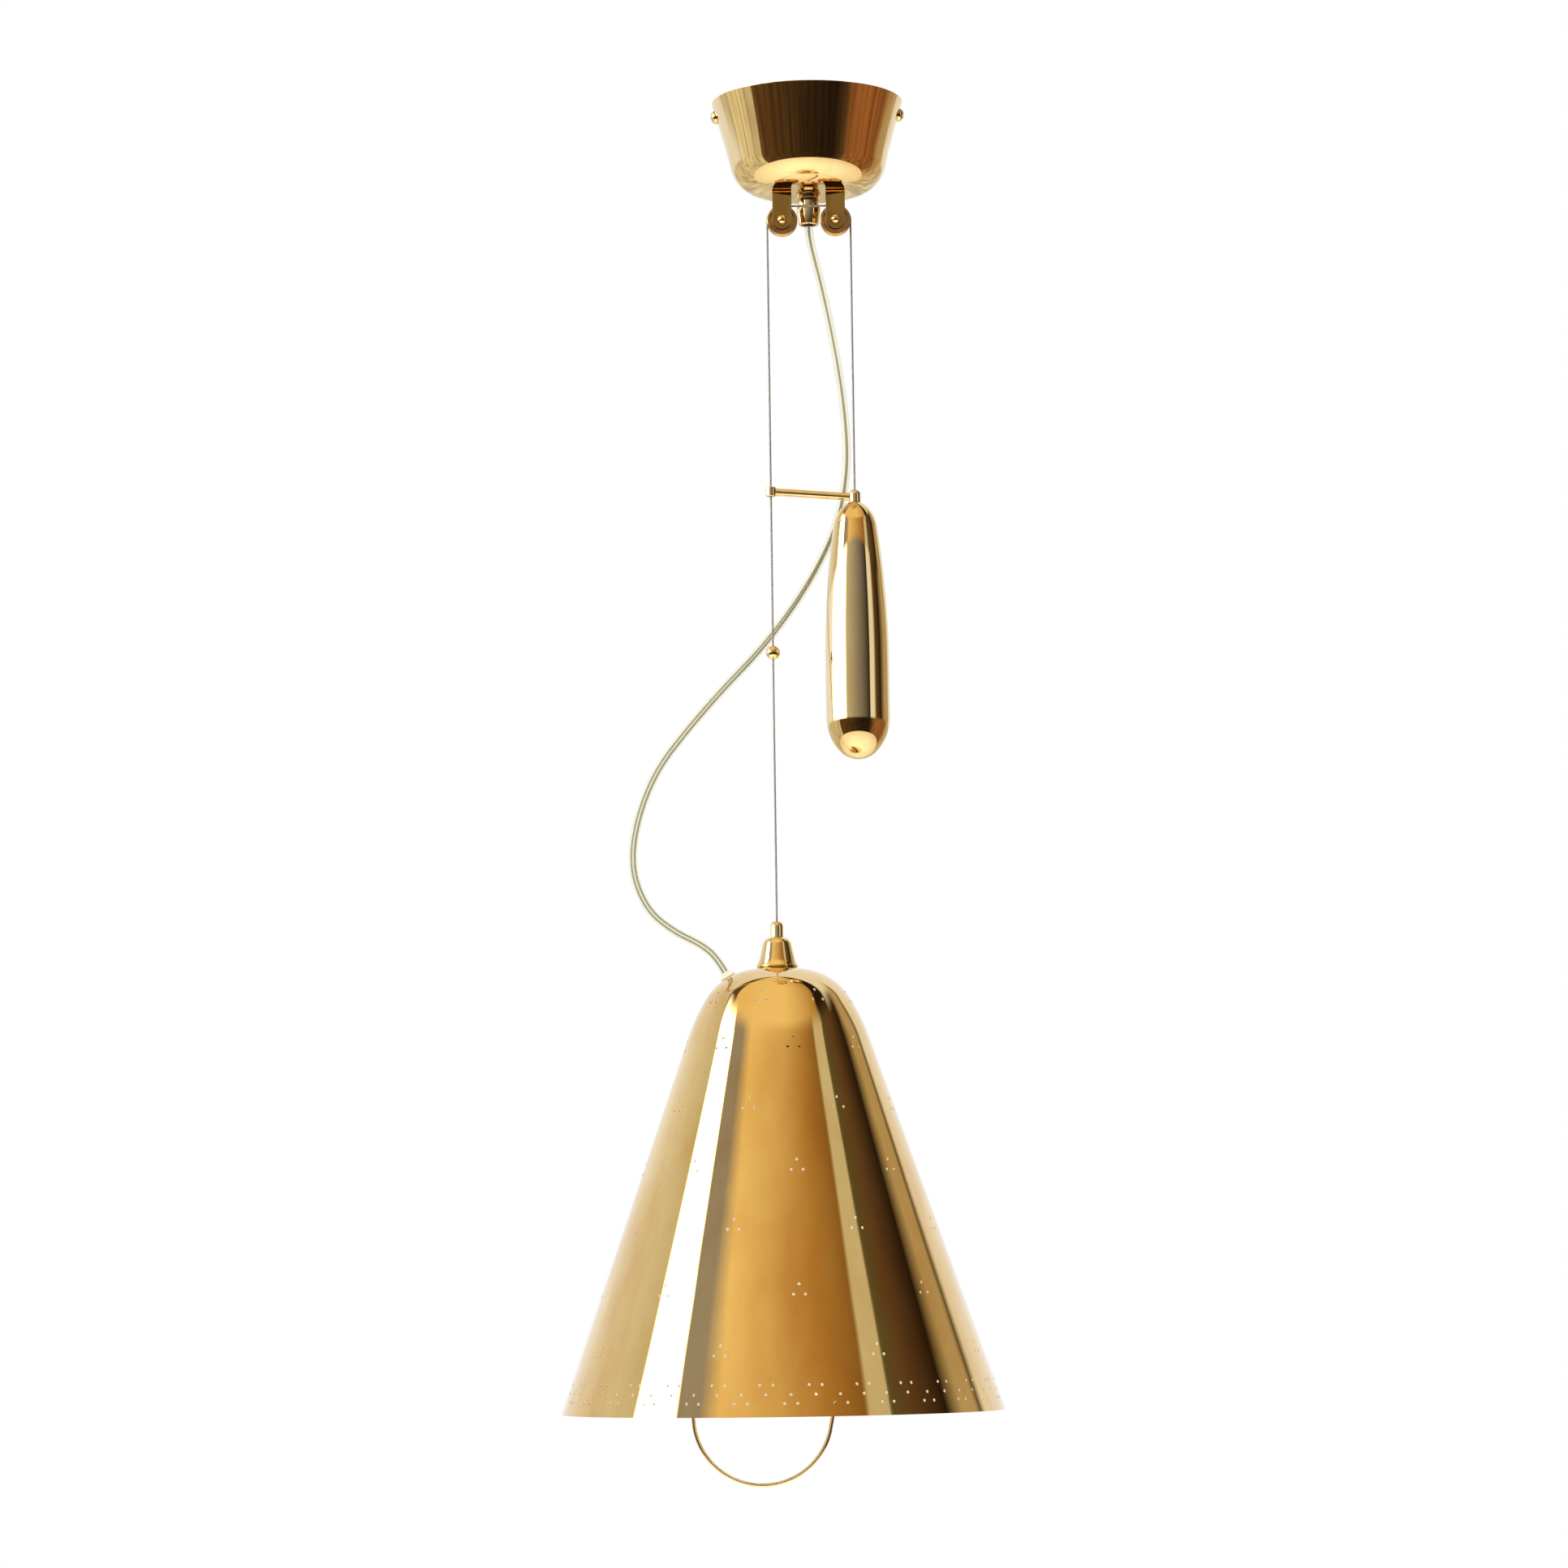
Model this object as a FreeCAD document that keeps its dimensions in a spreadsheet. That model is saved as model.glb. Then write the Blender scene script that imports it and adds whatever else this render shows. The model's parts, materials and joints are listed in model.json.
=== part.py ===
import FreeCAD, Part

# Rise and fall pendant: a spun brass shade hangs from a steel rope that runs over two pulleys
# under the canopy and down to a counterweight, so the lamp stays at whatever height it is put.
#
# Millimetres. The origin is the centre of the canopy's mouth, on the ceiling. +Z is up, +X is to
# the counterweight's side and -Y is the front. Every size is a cell of the sheet "Dimensions",
# and sketches, features and places are bound to those cells.

import math
import os
import re

import Sketcher
from FreeCAD import Placement, Rotation, Vector

DRIVING = {
    # canopy: spun bowl, mouth up against the ceiling
    "canopy_rim_r": 75.15,
    "canopy_depth": 72.6,
    "canopy_wall": 1.0,
    "canopy_flat_r": 30.0,
    "canopy_crown_edge_r": 41.6,
    "canopy_crown_edge_rise": 1.42,
    "canopy_crown_arc": 48.0,
    "canopy_corner_edge_r": 61.0,
    "canopy_corner_edge_rise": 21.3,
    "canopy_corner_arc": 26.4,
    "canopy_flare_arc": 576.0,
    # slotted side screws, square to the canopy's sloping wall
    "side_screw_tilt": 16.8,
    "side_screw_wall_r": 72.05,
    "side_screw_drop": 10.0,
    "side_screw_head_r": 5.4,
    "side_screw_head_rise": 4.2,
    "side_screw_head_arc": 5.825,
    "side_screw_shank_r": 2.0,
    "side_screw_reach": 9.0,
    "side_drill_x": 43.33,
    "side_drill_drop": 1.33,
    "side_drill_length": 45.0,
    "screw_slot_width": 1.2,
    "screw_slot_depth": 1.5,
    # ceiling bracket: bent steel strap
    "bracket_half_length": 70.0,
    "bracket_width": 26.0,
    "bracket_thickness": 2.0,
    "bracket_ear_drop": 20.0,
    "bracket_ear_lean": 6.04,
    "bracket_ear_face": 2.09,
    "bracket_ear_root": 0.6,
    "fixing_slot_spacing": 68.0,
    "fixing_slot_length": 22.0,
    "fixing_slot_width": 5.0,
    # terminal block under the bracket
    "block_length": 28.0,
    "block_width": 16.0,
    "block_height": 13.0,
    "block_bore_r": 2.6,
    "block_pitch": 9.0,
    "sleeve_bore_r": 1.5,
    "clamp_screw_r": 1.3,
    "clamp_screw_y": 4.0,
    "block_screw_r": 1.5,
    "block_screw_head_r": 2.8,
    # cord gland in the middle of the canopy
    "flex_r": 3.3,
    "lead_r": 2.6,
    "core_r": 1.1,
    "gland_collar_r": 9.7,
    "gland_collar_edge_r": 8.7,
    "gland_collar_height": 3.8,
    "gland_waist_r": 8.3,
    "gland_waist_height": 10.2,
    "gland_thread_r": 5.0,
    "gland_stem_height": 11.0,
    "gland_spigot_r": 6.6,
    "gland_spigot_length": 7.0,
    "gland_cap_shoulder_r": 9.7,
    "gland_cap_foot_r": 8.1,
    "gland_cap_mouth_r": 5.9,
    "gland_cap_length": 14.6,
    "gland_nut_flats": 14.0,
    "gland_nut_height": 4.0,
    # pulleys and their clevises
    "rope_r": 0.8,
    "fall_x": 32.6,
    "rope_plane_y": -11.0,
    "axle_drop": 96.2,
    "groove_centre_r": 11.7,
    "groove_root_r": 10.6,
    "groove_shoulder_r": 11.3,
    "groove_shoulder": 1.15,
    "groove_mouth": 1.9,
    "groove_arc": 1.3,
    "wheel_flange_r": 12.0,
    "wheel_half_width": 4.0,
    "wheel_edge": 0.6,
    "wheel_hub_r": 5.4,
    "wheel_web_step": 0.6,
    "wheel_web_edge_r": 9.6,
    "bush_outer_r": 3.2,
    "bush_bore_r": 2.05,
    "bush_half_length": 4.2,
    "axle_r": 2.0,
    "axle_head_r": 3.6,
    "axle_head_rise": 3.2,
    "axle_tail_rise": 1.6,
    "axle_head_arc": 3.75,
    "axle_tail_arc": 4.85,
    "clevis_half_gap": 4.4,
    "clevis_thickness": 1.6,
    "clevis_width": 15.0,
    "clevis_bend_r": 2.4,
    "clevis_end_r": 7.45,
    "clevis_tip": 7.5,
    "clevis_screw_r": 2.0,
    "clevis_screw_head_r": 3.5,
    "clevis_screw_head_height": 2.4,
    "clevis_nut_flats": 7.0,
    "clevis_nut_height": 3.2,
    # lamp: stop ball, ferrule, neck cap and shade
    "stop_ball_r": 5.5,
    "stop_ball_drop": 436.9,
    "lamp_ferrule_r": 5.0,
    "lamp_ferrule_base_drop": 658.3,
    "lamp_ferrule_height": 12.5,
    "ferrule_dome_arc": 4.3,
    "stud_r": 3.0,
    "stud_length": 8.0,
    "shade_top_drop": 680.8,
    "shade_wall": 0.85,
    "shade_hole_r": 5.1,
    "shade_hole_dip": 0.12,
    "shade_crown_r": 26.61,
    "shade_crown_dip": 3.267,
    "shade_crown_arc": 110.0,
    "shade_shoulder_r": 55.1,
    "shade_shoulder_dip": 23.97,
    "shade_shoulder_arc": 47.0,
    "shade_skirt_r": 69.49,
    "shade_skirt_dip": 53.97,
    "shade_skirt_arc": 150.0,
    "shade_rim_r": 169.0,
    "shade_height": 339.9,
    "neck_base_r": 15.6,
    "neck_lip_r": 16.2,
    "neck_lip_height": 1.2,
    "neck_flare_r": 13.6,
    "neck_flare_rise": 7.6,
    "neck_shoulder_r": 11.2,
    "neck_shoulder_rise": 17.6,
    "neck_top_r": 5.6,
    "neck_height": 23.4,
    "neck_flare_arc": 22.0,
    "neck_shoulder_arc": 7.0,
    "neck_wall": 1.3,
    # nipple, nuts and the strap that carries the handle
    "nipple_r": 5.0,
    "nipple_bore_r": 3.0,
    "nipple_length": 74.0,
    "nipple_nut_flats": 14.0,
    "nipple_nut_height": 4.0,
    "crown_washer_r": 14.0,
    "crown_washer_thickness": 1.5,
    "crown_washer_dip": 1.87,
    "strap_dip": 42.0,
    "strap_width": 12.0,
    "strap_thickness": 2.0,
    "strap_end_arc": 6.0,
    "handle_hole_x": 40.0,
    "handle_wire_r": 1.55,
    "handle_nut_flats": 5.5,
    "handle_nut_height": 2.4,
    "handle_stub": 5.0,
    "handle_lean": 3.05,
    "handle_flare_x": 58.5,
    "handle_flare_drop": 262.0,
    "handle_flare_arc": 120.0,
    "handle_knee_arc": 30.0,
    "handle_leg_slope": 10.0,
    "handle_bow_r": 52.8,
    "handle_bow_drop": 301.2,
    # lampholder for an E27 lamp
    "holder_top_dip": 44.0,
    "holder_cap_r": 19.0,
    "holder_cap_height": 18.0,
    "holder_shell_r": 19.6,
    "holder_shell_length": 36.0,
    "holder_wall": 1.4,
    "holder_mouth_r": 13.4,
    "holder_sleeve_wall": 0.5,
    "holder_sleeve_length": 24.0,
    "holder_lead_x": 38.2,
    "holder_lead_y": 1.2,
    "holder_lead_drop": 733.2,
    "holder_lead_tilt": 31.5,
    # flex bush on the shoulder of the shade
    "entry_offset": 38.0,
    "entry_dip": 7.75,
    "entry_tilt": 28.96,
    "entry_drill_back": 4.84,
    "entry_drill_down": 8.75,
    "entry_hole_r": 4.6,
    "entry_flange_r": 6.0,
    "entry_flange_rise": 2.4,
    # counterweight and the arm that guides it
    "weight_top_drop": 319.9,
    "weight_ferrule_r": 4.6,
    "weight_ferrule_height": 10.0,
    "weight_dome_arc": 3.9,
    "weight_neck_r": 4.7,
    "weight_shoulder_r": 17.0,
    "weight_shoulder_dip": 18.5,
    "weight_shoulder_arc": 20.6,
    "weight_body_r": 24.8,
    "weight_body_dip": 126.0,
    "weight_body_arc": 754.0,
    "weight_belly_dip": 168.7,
    "weight_heel_r": 14.12,
    "weight_heel_dip": 195.1,
    "weight_heel_arc": 38.0,
    "weight_length": 201.1,
    "weight_foot_arc": 19.6145,
    "weight_wall": 1.0,
    "weight_fill_dip": 40.0,
    "weight_fill_r": 18.75,
    "guide_eye_drop": 310.7,
    "guide_eye_r": 4.0,
    "guide_eye_height": 7.5,
    "guide_liner_r": 2.6,
    "guide_liner_bore_r": 1.1,
    "guide_rod_r": 3.0,
    "guide_rod_fall": 5.0,
}

# Routes of the flex, as x, y, z: free from the gland to the bush on the shade, its tail up into
# the canopy, one core from the tail to the terminal block, and the lead inside the shade.
FLEX_ROUTE = [
    (0.0, 0.0, -97.2),
    (0.0, 0.0, -105.2),
    (3.2, 0.6, -120.5),
    (9.8, 2.6, -147.0),
    (18.6, 8.0, -191.0),
    (26.0, 14.0, -240.0),
    (28.2, 18.0, -286.0),
    (20.6, 20.0, -328.0),
    (5.5, 19.0, -362.0),
    (-14.4, 16.0, -395.0),
    (-41.7, 11.0, -431.0),
    (-71.5, 5.5, -462.0),
    (-99.0, 1.0, -493.5),
    (-125.0, -2.5, -527.0),
    (-140.2, -5.5, -566.0),
    (-144.9, -7.5, -603.0),
    (-133.2, -9.0, -635.0),
    (-112.5, -10.3, -652.5),
    (-90.6, -11.0, -663.2),
    (-78.85, -11.0, -673.63),
    (-71.76, -11.0, -686.45),
]
TAIL_ROUTE = [
    (0.0, 0.0, -97.2),
    (0.0, 0.0, -54.0),
    (0.0, -7.0, -38.0),
    (0.0, -14.5, -26.2),
]
CORE_ROUTE = [
    (1.4, -14.5, -26.2),
    (1.4, -17.46, -21.57),
    (2.2, -17.65, -16.07),
    (3.4, -15.01, -11.25),
    (4.5, -10.28, -8.5),
    (4.5, -5.0, -8.5),
]
LEAD_ROUTE = [
    (-71.76, -11.0, -686.45),
    (-65.95, -11.0, -696.95),
    (-58.8, -5.6, -708.6),
    (-50.3, -0.3, -717.6),
    (-42.0, 1.2, -727.0),
    (-38.2, 1.2, -733.2),
]

doc = FreeCAD.newDocument("rise_and_fall_pendant")
sheet = doc.addObject("Spreadsheet::Sheet", "Dimensions")
for row, (alias, size) in enumerate(DRIVING.items(), start=1):
    sheet.set(f"A{row}", alias)
    sheet.set(f"B{row}", str(size))
    sheet.setAlias(f"B{row}", alias)
doc.recompute()

PIECES = []


# ---- sums of cells, as numbers and as expressions ----

def number(text):
    """Value of a sum of cells, such as "rim_z - wall/2"."""
    total = 0.0
    for term in str(text).replace("+ ", "").replace("- ", "-").split():
        name, _, divisor = term.lstrip("-").partition("/")
        size = float(sheet.get(name)) if name[0].isalpha() else float(name)
        total += math.copysign(1, -term.startswith("-") or 1) * size / float(divisor or 1)
    return total


def mirror(text):
    """The same sum of cells with every sign turned."""
    turned_signs = str(text).replace("- ", "~ ").replace("+ ", "- ").replace("~ ", "+ ")
    return turned_signs[2:] if turned_signs.startswith("+ ") else "- " + turned_signs


def bind(thing, prop, text):
    """Ties one property or constraint to a sum of cells."""
    thing.setExpression(prop, re.sub(r"[a-z]\w*", r"Dimensions.\g<0>", str(text)))


def place(thing, x="0", y="0", z="0", turn=None):
    """Puts a piece where three sums of cells say, turned by (axis, degrees)."""
    rotation = Rotation(Vector(*turn[0]), turn[1]) if turn else Rotation()
    thing.Placement = Placement(Vector(number(x), number(y), number(z)), rotation)
    for axis, text in zip("xyz", (x, y, z)):
        bind(thing, f"Placement.Base.{axis}", text)


def piece(thing, label):
    """Names a finished sub-part and keeps it for the export."""
    thing.Label = label
    PIECES.append(thing)
    return thing


# ---- sketches, turned parts and bent parts ----

def arc_between(start, end, radius):
    """Lesser arc from start to end, turning left for a positive radius."""
    chord = end - start
    reach = math.sqrt(radius ** 2 - chord.Length ** 2 / 4)
    side = Vector(-chord.y, chord.x, 0).normalize()
    centre = (start + end) / 2 + side * math.copysign(reach, radius)
    first, last = (start, end) if radius > 0 else (end, start)
    begin = math.atan2(first.y - centre.y, first.x - centre.x)
    finish = math.atan2(last.y - centre.y, last.x - centre.x)
    if finish < begin:
        finish += 2 * math.pi
    return Part.ArcOfCircle(Part.Circle(centre, Vector(0, 0, 1), abs(radius)), begin, finish)


def pin_point(sketch, edge, end, point, tag):
    """Ties a corner of a sketch to two sums of cells."""
    for kind, axis, text in (("DistanceX", -2, point[0]), ("DistanceY", -1, point[1])):
        if number(text) == 0:
            sketch.addConstraint(Sketcher.Constraint("PointOnObject", edge, end, axis))
            continue
        index = sketch.addConstraint(Sketcher.Constraint(kind, edge, end, number(text)))
        sketch.renameConstraint(index, f"{kind[-1].lower()}_{tag}")
        bind(sketch, f"Constraints.{kind[-1].lower()}_{tag}", text)


def draw(sketch, corners, closed=True):
    """Draws lines and arcs through corners (u, v) or (u, v, radius of the arc that ends there)."""
    points = [Vector(number(c[0]), number(c[1]), 0) for c in corners]
    count = len(corners) if closed else len(corners) - 1
    ends = []
    for i in range(count):
        target = (i + 1) % len(corners)
        bulge = corners[target][2] if len(corners[target]) == 3 else None
        if bulge is None:
            sketch.addGeometry(Part.LineSegment(points[i], points[target]))
        else:
            sketch.addGeometry(arc_between(points[i], points[target], number(bulge)))
        turned_back = bulge is not None and number(bulge) < 0
        ends.append((2, 1) if turned_back else (1, 2))
    for i in range(count):
        edge = sketch.GeometryCount - count + i
        pin_point(sketch, edge, ends[i][0], corners[i], i)
        if i + 1 < count or closed:
            following = (i + 1) % count
            other = sketch.GeometryCount - count + following
            sketch.addConstraint(Sketcher.Constraint(
                "Coincident", edge, ends[i][1], other, ends[following][0]))
        else:
            pin_point(sketch, edge, ends[i][1], corners[i + 1], i + 1)
    for i in range(count):
        target = corners[(i + 1) % len(corners)]
        if len(target) == 3:
            edge = sketch.GeometryCount - count + i
            index = sketch.addConstraint(
                Sketcher.Constraint("Radius", edge, abs(number(target[2]))))
            sketch.renameConstraint(index, f"radius_{i}")
            size = str(target[2])
            bind(sketch, f"Constraints.radius_{i}", mirror(size) if size[0] == "-" else size)
    return sketch


def circles(sketch, rounds):
    """Draws circles (u, v, radius)."""
    for i, (u, v, radius) in enumerate(rounds):
        sketch.addGeometry(Part.Circle(Vector(number(u), number(v), 0), Vector(0, 0, 1),
                                       number(radius)))
        pin_point(sketch, i, 3, (u, v), i)
        index = sketch.addConstraint(Sketcher.Constraint("Radius", i, number(radius)))
        sketch.renameConstraint(index, f"radius_{i}")
        bind(sketch, f"Constraints.radius_{i}", radius)
    return sketch


def new_body(name):
    return doc.addObject("PartDesign::Body", name)


def sketch_on(body, plane, name):
    """Empty sketch on one of the body's own planes: XY, XZ or YZ."""
    sketch = body.newObject("Sketcher::SketchObject", f"{body.Name}_{name}")
    origin = [f for f in body.Origin.OriginFeatures if f.Role == f"{plane}_Plane"][0]
    sketch.AttachmentSupport = [(origin, "")]
    sketch.MapMode = "FlatFace"
    return sketch


def turned(name, corners, **spot):
    """A body turned from a half profile in radius and height."""
    body = new_body(name)
    profile = draw(sketch_on(body, "XZ", "profile"), corners)
    turning = body.newObject("PartDesign::Revolution", f"{name}_turning")
    turning.Profile = profile
    turning.ReferenceAxis = (profile, ["V_Axis"])
    turning.Angle = 360
    body.Tip = turning
    place(body, **spot)
    return body


def pad(body, profile, length, name, midplane=True):
    """Adds the profile's prism to the body."""
    feature = body.newObject("PartDesign::Pad", f"{body.Name}_{name}")
    feature.Profile = profile
    feature.Midplane = midplane
    bind(feature, "Length", length)
    body.Tip = feature
    return feature


def pocket(body, profile, name):
    """Cuts the profile through the whole body, both ways."""
    feature = body.newObject("PartDesign::Pocket", f"{body.Name}_{name}")
    feature.Profile = profile
    feature.Type = "ThroughAll"
    feature.Midplane = True
    body.Tip = feature
    return feature


def inner_face(corners, wall):
    """Corners of a spun wall's inner face, from the last back to the first."""
    points = [Vector(number(c[0]), number(c[1]), 0) for c in corners]
    bulges = [number(c[2]) if len(c) == 3 else 0 for c in corners]
    inside = math.copysign(1, next(bulge for bulge in bulges if bulge))
    ways = []
    for start, end, bulge in zip(points, points[1:], bulges[1:]):
        chord = end - start
        half_turn = math.degrees(math.asin(chord.Length / 2 / bulge)) if bulge else 0
        ways.append([Rotation(Vector(0, 0, 1), turn).multVec(chord).normalize()
                     for turn in (-half_turn, half_turn)])
    inner = []
    for i, corner in enumerate(corners):
        last = i == len(ways)
        way = ways[-1][1] if last else ways[i][0]
        inwards = Vector(-way.y, way.x, 0) * inside
        shift = inwards * number(wall)
        if i == 0:
            shift = Vector(0, number(wall) / inwards.y, 0)
        if last:
            shift = Vector(number(wall) / inwards.x, 0, 0)
        spot = [f"{text} + {step:.4f}".replace("+ -", "- ")
                for text, step in zip(corner, (shift.x, shift.y))]
        if not last and bulges[i + 1]:
            step = "-" if bulges[i + 1] * inside > 0 else "+"
            radius = corners[i + 1][2].lstrip("- ") + f" {step} {wall}"
            spot.append(radius if bulges[i + 1] < 0 else mirror(radius))
        inner.append(tuple(spot))
    return inner[::-1]


def spun_shell(name, corners, wall):
    """Sheet metal spun to an outer meridian, with a wall of even thickness inside it."""
    return turned(f"{name}_spinning", corners + inner_face(corners, wall))


def rod(name, radius, length, **spot):
    """Plain round bar along its own Z axis, starting at its place."""
    bar = doc.addObject("Part::Cylinder", name)
    bind(bar, "Radius", radius)
    bind(bar, "Height", length)
    place(bar, **spot)
    return bar


def cut(name, base, tools):
    """Takes the tools away from the base."""
    holes = doc.addObject("Part::Compound", f"{name}_tools")
    holes.Links = tools
    result = doc.addObject("Part::Cut", name)
    result.Base = base
    result.Tool = holes
    return result


def group(name, members):
    """Identical fasteners as separate solids of one piece."""
    together = doc.addObject("Part::Compound", name)
    together.Links = members
    return together


def hex_nut(name, flats, height, bore, **spot):
    """Hexagon nut standing on its place, with a plain bore for its thread."""
    body = new_body(name)
    blank = sketch_on(body, "XY", "flats")
    across = number(flats) / math.sqrt(3)
    corners = [Vector(across * math.cos(math.radians(60 * k)),
                      across * math.sin(math.radians(60 * k)), 0) for k in range(6)]
    for k in range(6):
        blank.addGeometry(Part.LineSegment(corners[k], corners[(k + 1) % 6]))
    guide = blank.addGeometry(Part.Circle(Vector(), Vector(0, 0, 1), across), True)
    blank.addConstraint(Sketcher.Constraint("Coincident", guide, 3, -1, 1))
    for k in range(6):
        blank.addConstraint(Sketcher.Constraint("Coincident", k, 2, (k + 1) % 6, 1))
        blank.addConstraint(Sketcher.Constraint("PointOnObject", k, 1, guide))
    for k in range(5):
        blank.addConstraint(Sketcher.Constraint("Equal", k, k + 1))
    blank.addConstraint(Sketcher.Constraint("PointOnObject", 0, 1, -1))
    width = blank.addConstraint(Sketcher.Constraint("Distance", 0, 2, 3, 2, number(flats)))
    blank.renameConstraint(width, "flats")
    bind(blank, "Constraints.flats", flats)
    pad(body, blank, height, "height", midplane=False)
    pocket(body, circles(sketch_on(body, "XY", "bore"), [("0", "0", bore)]), "thread")
    place(body, **spot)
    return body


def rounded_route(points, radii):
    """Wire of straight runs joined by tangent arcs, one radius for each inner point."""
    edges = []
    start = points[0]
    for before, corner, after, radius in zip(points, points[1:], points[2:], radii):
        back = (before - corner).normalize()
        ahead = (after - corner).normalize()
        half_turn = (math.pi - back.getAngle(ahead)) / 2
        trim = radius * math.tan(half_turn)
        middle = (back + ahead).normalize()
        arc_start = corner + back * trim
        arc_end = corner + ahead * trim
        arc_middle = corner + middle * radius * (1 / math.cos(half_turn) - 1)
        edges.append(Part.LineSegment(start, arc_start).toShape())
        edges.append(Part.Arc(arc_start, arc_middle, arc_end).toShape())
        start = arc_end
    edges.append(Part.LineSegment(start, points[-1]).toShape())
    return Part.Wire(edges)


def tube(name, path, radius):
    """Round section swept along a wire; prints how its volume compares with section x length."""
    first = path.Edges[0]
    section = Part.Wire(Part.Circle(first.valueAt(first.FirstParameter),
                                    first.tangentAt(first.FirstParameter), radius).toShape())
    solid = path.makePipeShell([section], True, True)
    ratio = solid.Volume / (math.pi * radius ** 2 * path.Length)
    print(f"{name}: length {path.Length:.1f}, volume ratio {ratio:.4f}")
    feature = doc.addObject("Part::Feature", name)
    feature.Shape = solid
    return feature


# ---- ceiling bracket, canopy and what is inside ----

def side_drills(owner):
    """Drills for the two side screws, square to the sloping wall and ears."""
    drills = []
    for side, word in ((1, "right"), (-1, "left")):
        sign = "" if side > 0 else "- "
        drills.append(rod(f"{owner}_drill_{word}", "side_screw_shank_r", "side_drill_length",
                          x=sign + "side_drill_x", z="- side_drill_drop",
                          turn=((0, 1, 0), side * (90 + number("side_screw_tilt")))))
    return drills


def draw_slot(sketch, sign):
    """Slot along the first axis, centred half the fixing spacing to one side."""
    centre = sign * number("fixing_slot_spacing/2")
    half = number("fixing_slot_width/2")
    reach = number("fixing_slot_length/2") - half
    right, left, up = Vector(centre + reach), Vector(centre - reach), Vector(0, half)
    axis = Vector(0, 0, 1)
    quarter = math.pi / 2
    sketch.addGeometry(Part.LineSegment(left - up, right - up))
    sketch.addGeometry(Part.ArcOfCircle(Part.Circle(right, axis, half), -quarter, quarter))
    sketch.addGeometry(Part.LineSegment(right + up, left + up))
    sketch.addGeometry(Part.ArcOfCircle(Part.Circle(left, axis, half), quarter, 3 * quarter))
    for k in range(4):
        sketch.addConstraint(Sketcher.Constraint("Tangent", k, 2, (k + 1) % 4, 1))
    middle = "fixing_slot_spacing/2" if sign > 0 else "- fixing_slot_spacing/2"
    pin_point(sketch, 1, 3, (middle + " + fixing_slot_length/2 - fixing_slot_width/2", 0), "right")
    pin_point(sketch, 3, 3, (middle + " - fixing_slot_length/2 + fixing_slot_width/2", 0), "left")
    index = sketch.addConstraint(Sketcher.Constraint("Radius", 1, half))
    sketch.renameConstraint(index, "half_width")
    bind(sketch, "Constraints.half_width", "fixing_slot_width/2")
    sketch.addConstraint(Sketcher.Constraint("Equal", 1, 3))
    return sketch


def build_ceiling_bracket():
    """Steel strap, slotted for the ceiling, its ears parallel to the canopy's wall."""
    body = new_body("bracket_strap")
    right_corners = [
        ("bracket_half_length", "0"),
        ("bracket_half_length - bracket_ear_lean", "- bracket_ear_drop"),
        ("bracket_half_length - bracket_ear_lean - bracket_ear_face", "- bracket_ear_drop"),
        ("bracket_half_length - bracket_ear_root - bracket_ear_face", "- bracket_thickness"),
    ]
    left_corners = [(mirror(x), z) for x, z in reversed(right_corners)]
    side = draw(sketch_on(body, "XZ", "side"), right_corners + left_corners)
    pad(body, side, "bracket_width", "bend")
    pocket(body, draw_slot(sketch_on(body, "XY", "slot_right"), 1), "right_slot")
    pocket(body, draw_slot(sketch_on(body, "XY", "slot_left"), -1), "left_slot")
    place(body)
    tapping = rod("bracket_block_drill", "block_screw_r", "10", z="- 5")
    piece(cut("bracket_tapping", body, side_drills("bracket") + [tapping]), "ceiling_bracket")


def build_canopy():
    """Spun brass bowl with a flat bottom, bored for the gland, the clevises and the side screws."""
    shell = spun_shell("canopy", [
        ("gland_thread_r + 0.1", "- canopy_depth"),
        ("canopy_flat_r", "- canopy_depth"),
        ("canopy_crown_edge_r", "canopy_crown_edge_rise - canopy_depth", "canopy_crown_arc"),
        ("canopy_corner_edge_r", "canopy_corner_edge_rise - canopy_depth", "canopy_corner_arc"),
        ("canopy_rim_r", "0", "- canopy_flare_arc"),
    ], "canopy_wall")
    drills = side_drills("canopy")
    for sign, word in (("", "right"), ("- ", "left")):
        drills.append(rod(f"canopy_clevis_drill_{word}", "clevis_screw_r", "10",
                          x=sign + "fall_x" + flip(sign) + "groove_centre_r",
                          y="rope_plane_y", z="- canopy_depth - 4"))
    piece(cut("canopy_drilling", shell, drills), "canopy")


def flip(sign):
    """Sign that keeps a distance to the same side as the one before it."""
    return " + " if sign else " - "


def build_side_screws():
    """Two slotted dome-head screws that hold the canopy to the bracket's ears."""
    screws = []
    for side, word in ((1, "right"), (-1, "left")):
        sign = "" if side > 0 else "- "
        spot = {"x": sign + "side_screw_wall_r", "z": "- side_screw_drop",
                "turn": ((0, 1, 0), side * (90 + number("side_screw_tilt")))}
        screw = turned(f"side_screw_{word}", [
            (0, "- side_screw_reach"),
            ("side_screw_shank_r", "- side_screw_reach"),
            ("side_screw_shank_r", 0),
            ("side_screw_head_r", 0),
            ("side_screw_head_r - 0.2", "1"),
            (0, "side_screw_head_rise", "side_screw_head_arc"),
        ], **spot)
        slot = draw(sketch_on(screw, "XZ", "slot"), [
            ("- screw_slot_width/2", "side_screw_head_rise - screw_slot_depth"),
            ("screw_slot_width/2", "side_screw_head_rise - screw_slot_depth"),
            ("screw_slot_width/2", "side_screw_head_rise + 1"),
            ("- screw_slot_width/2", "side_screw_head_rise + 1"),
        ])
        pocket(screw, slot, "driver_slot")
        screws.append(screw)
    piece(group("side_screws", screws), "canopy_screws")


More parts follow.
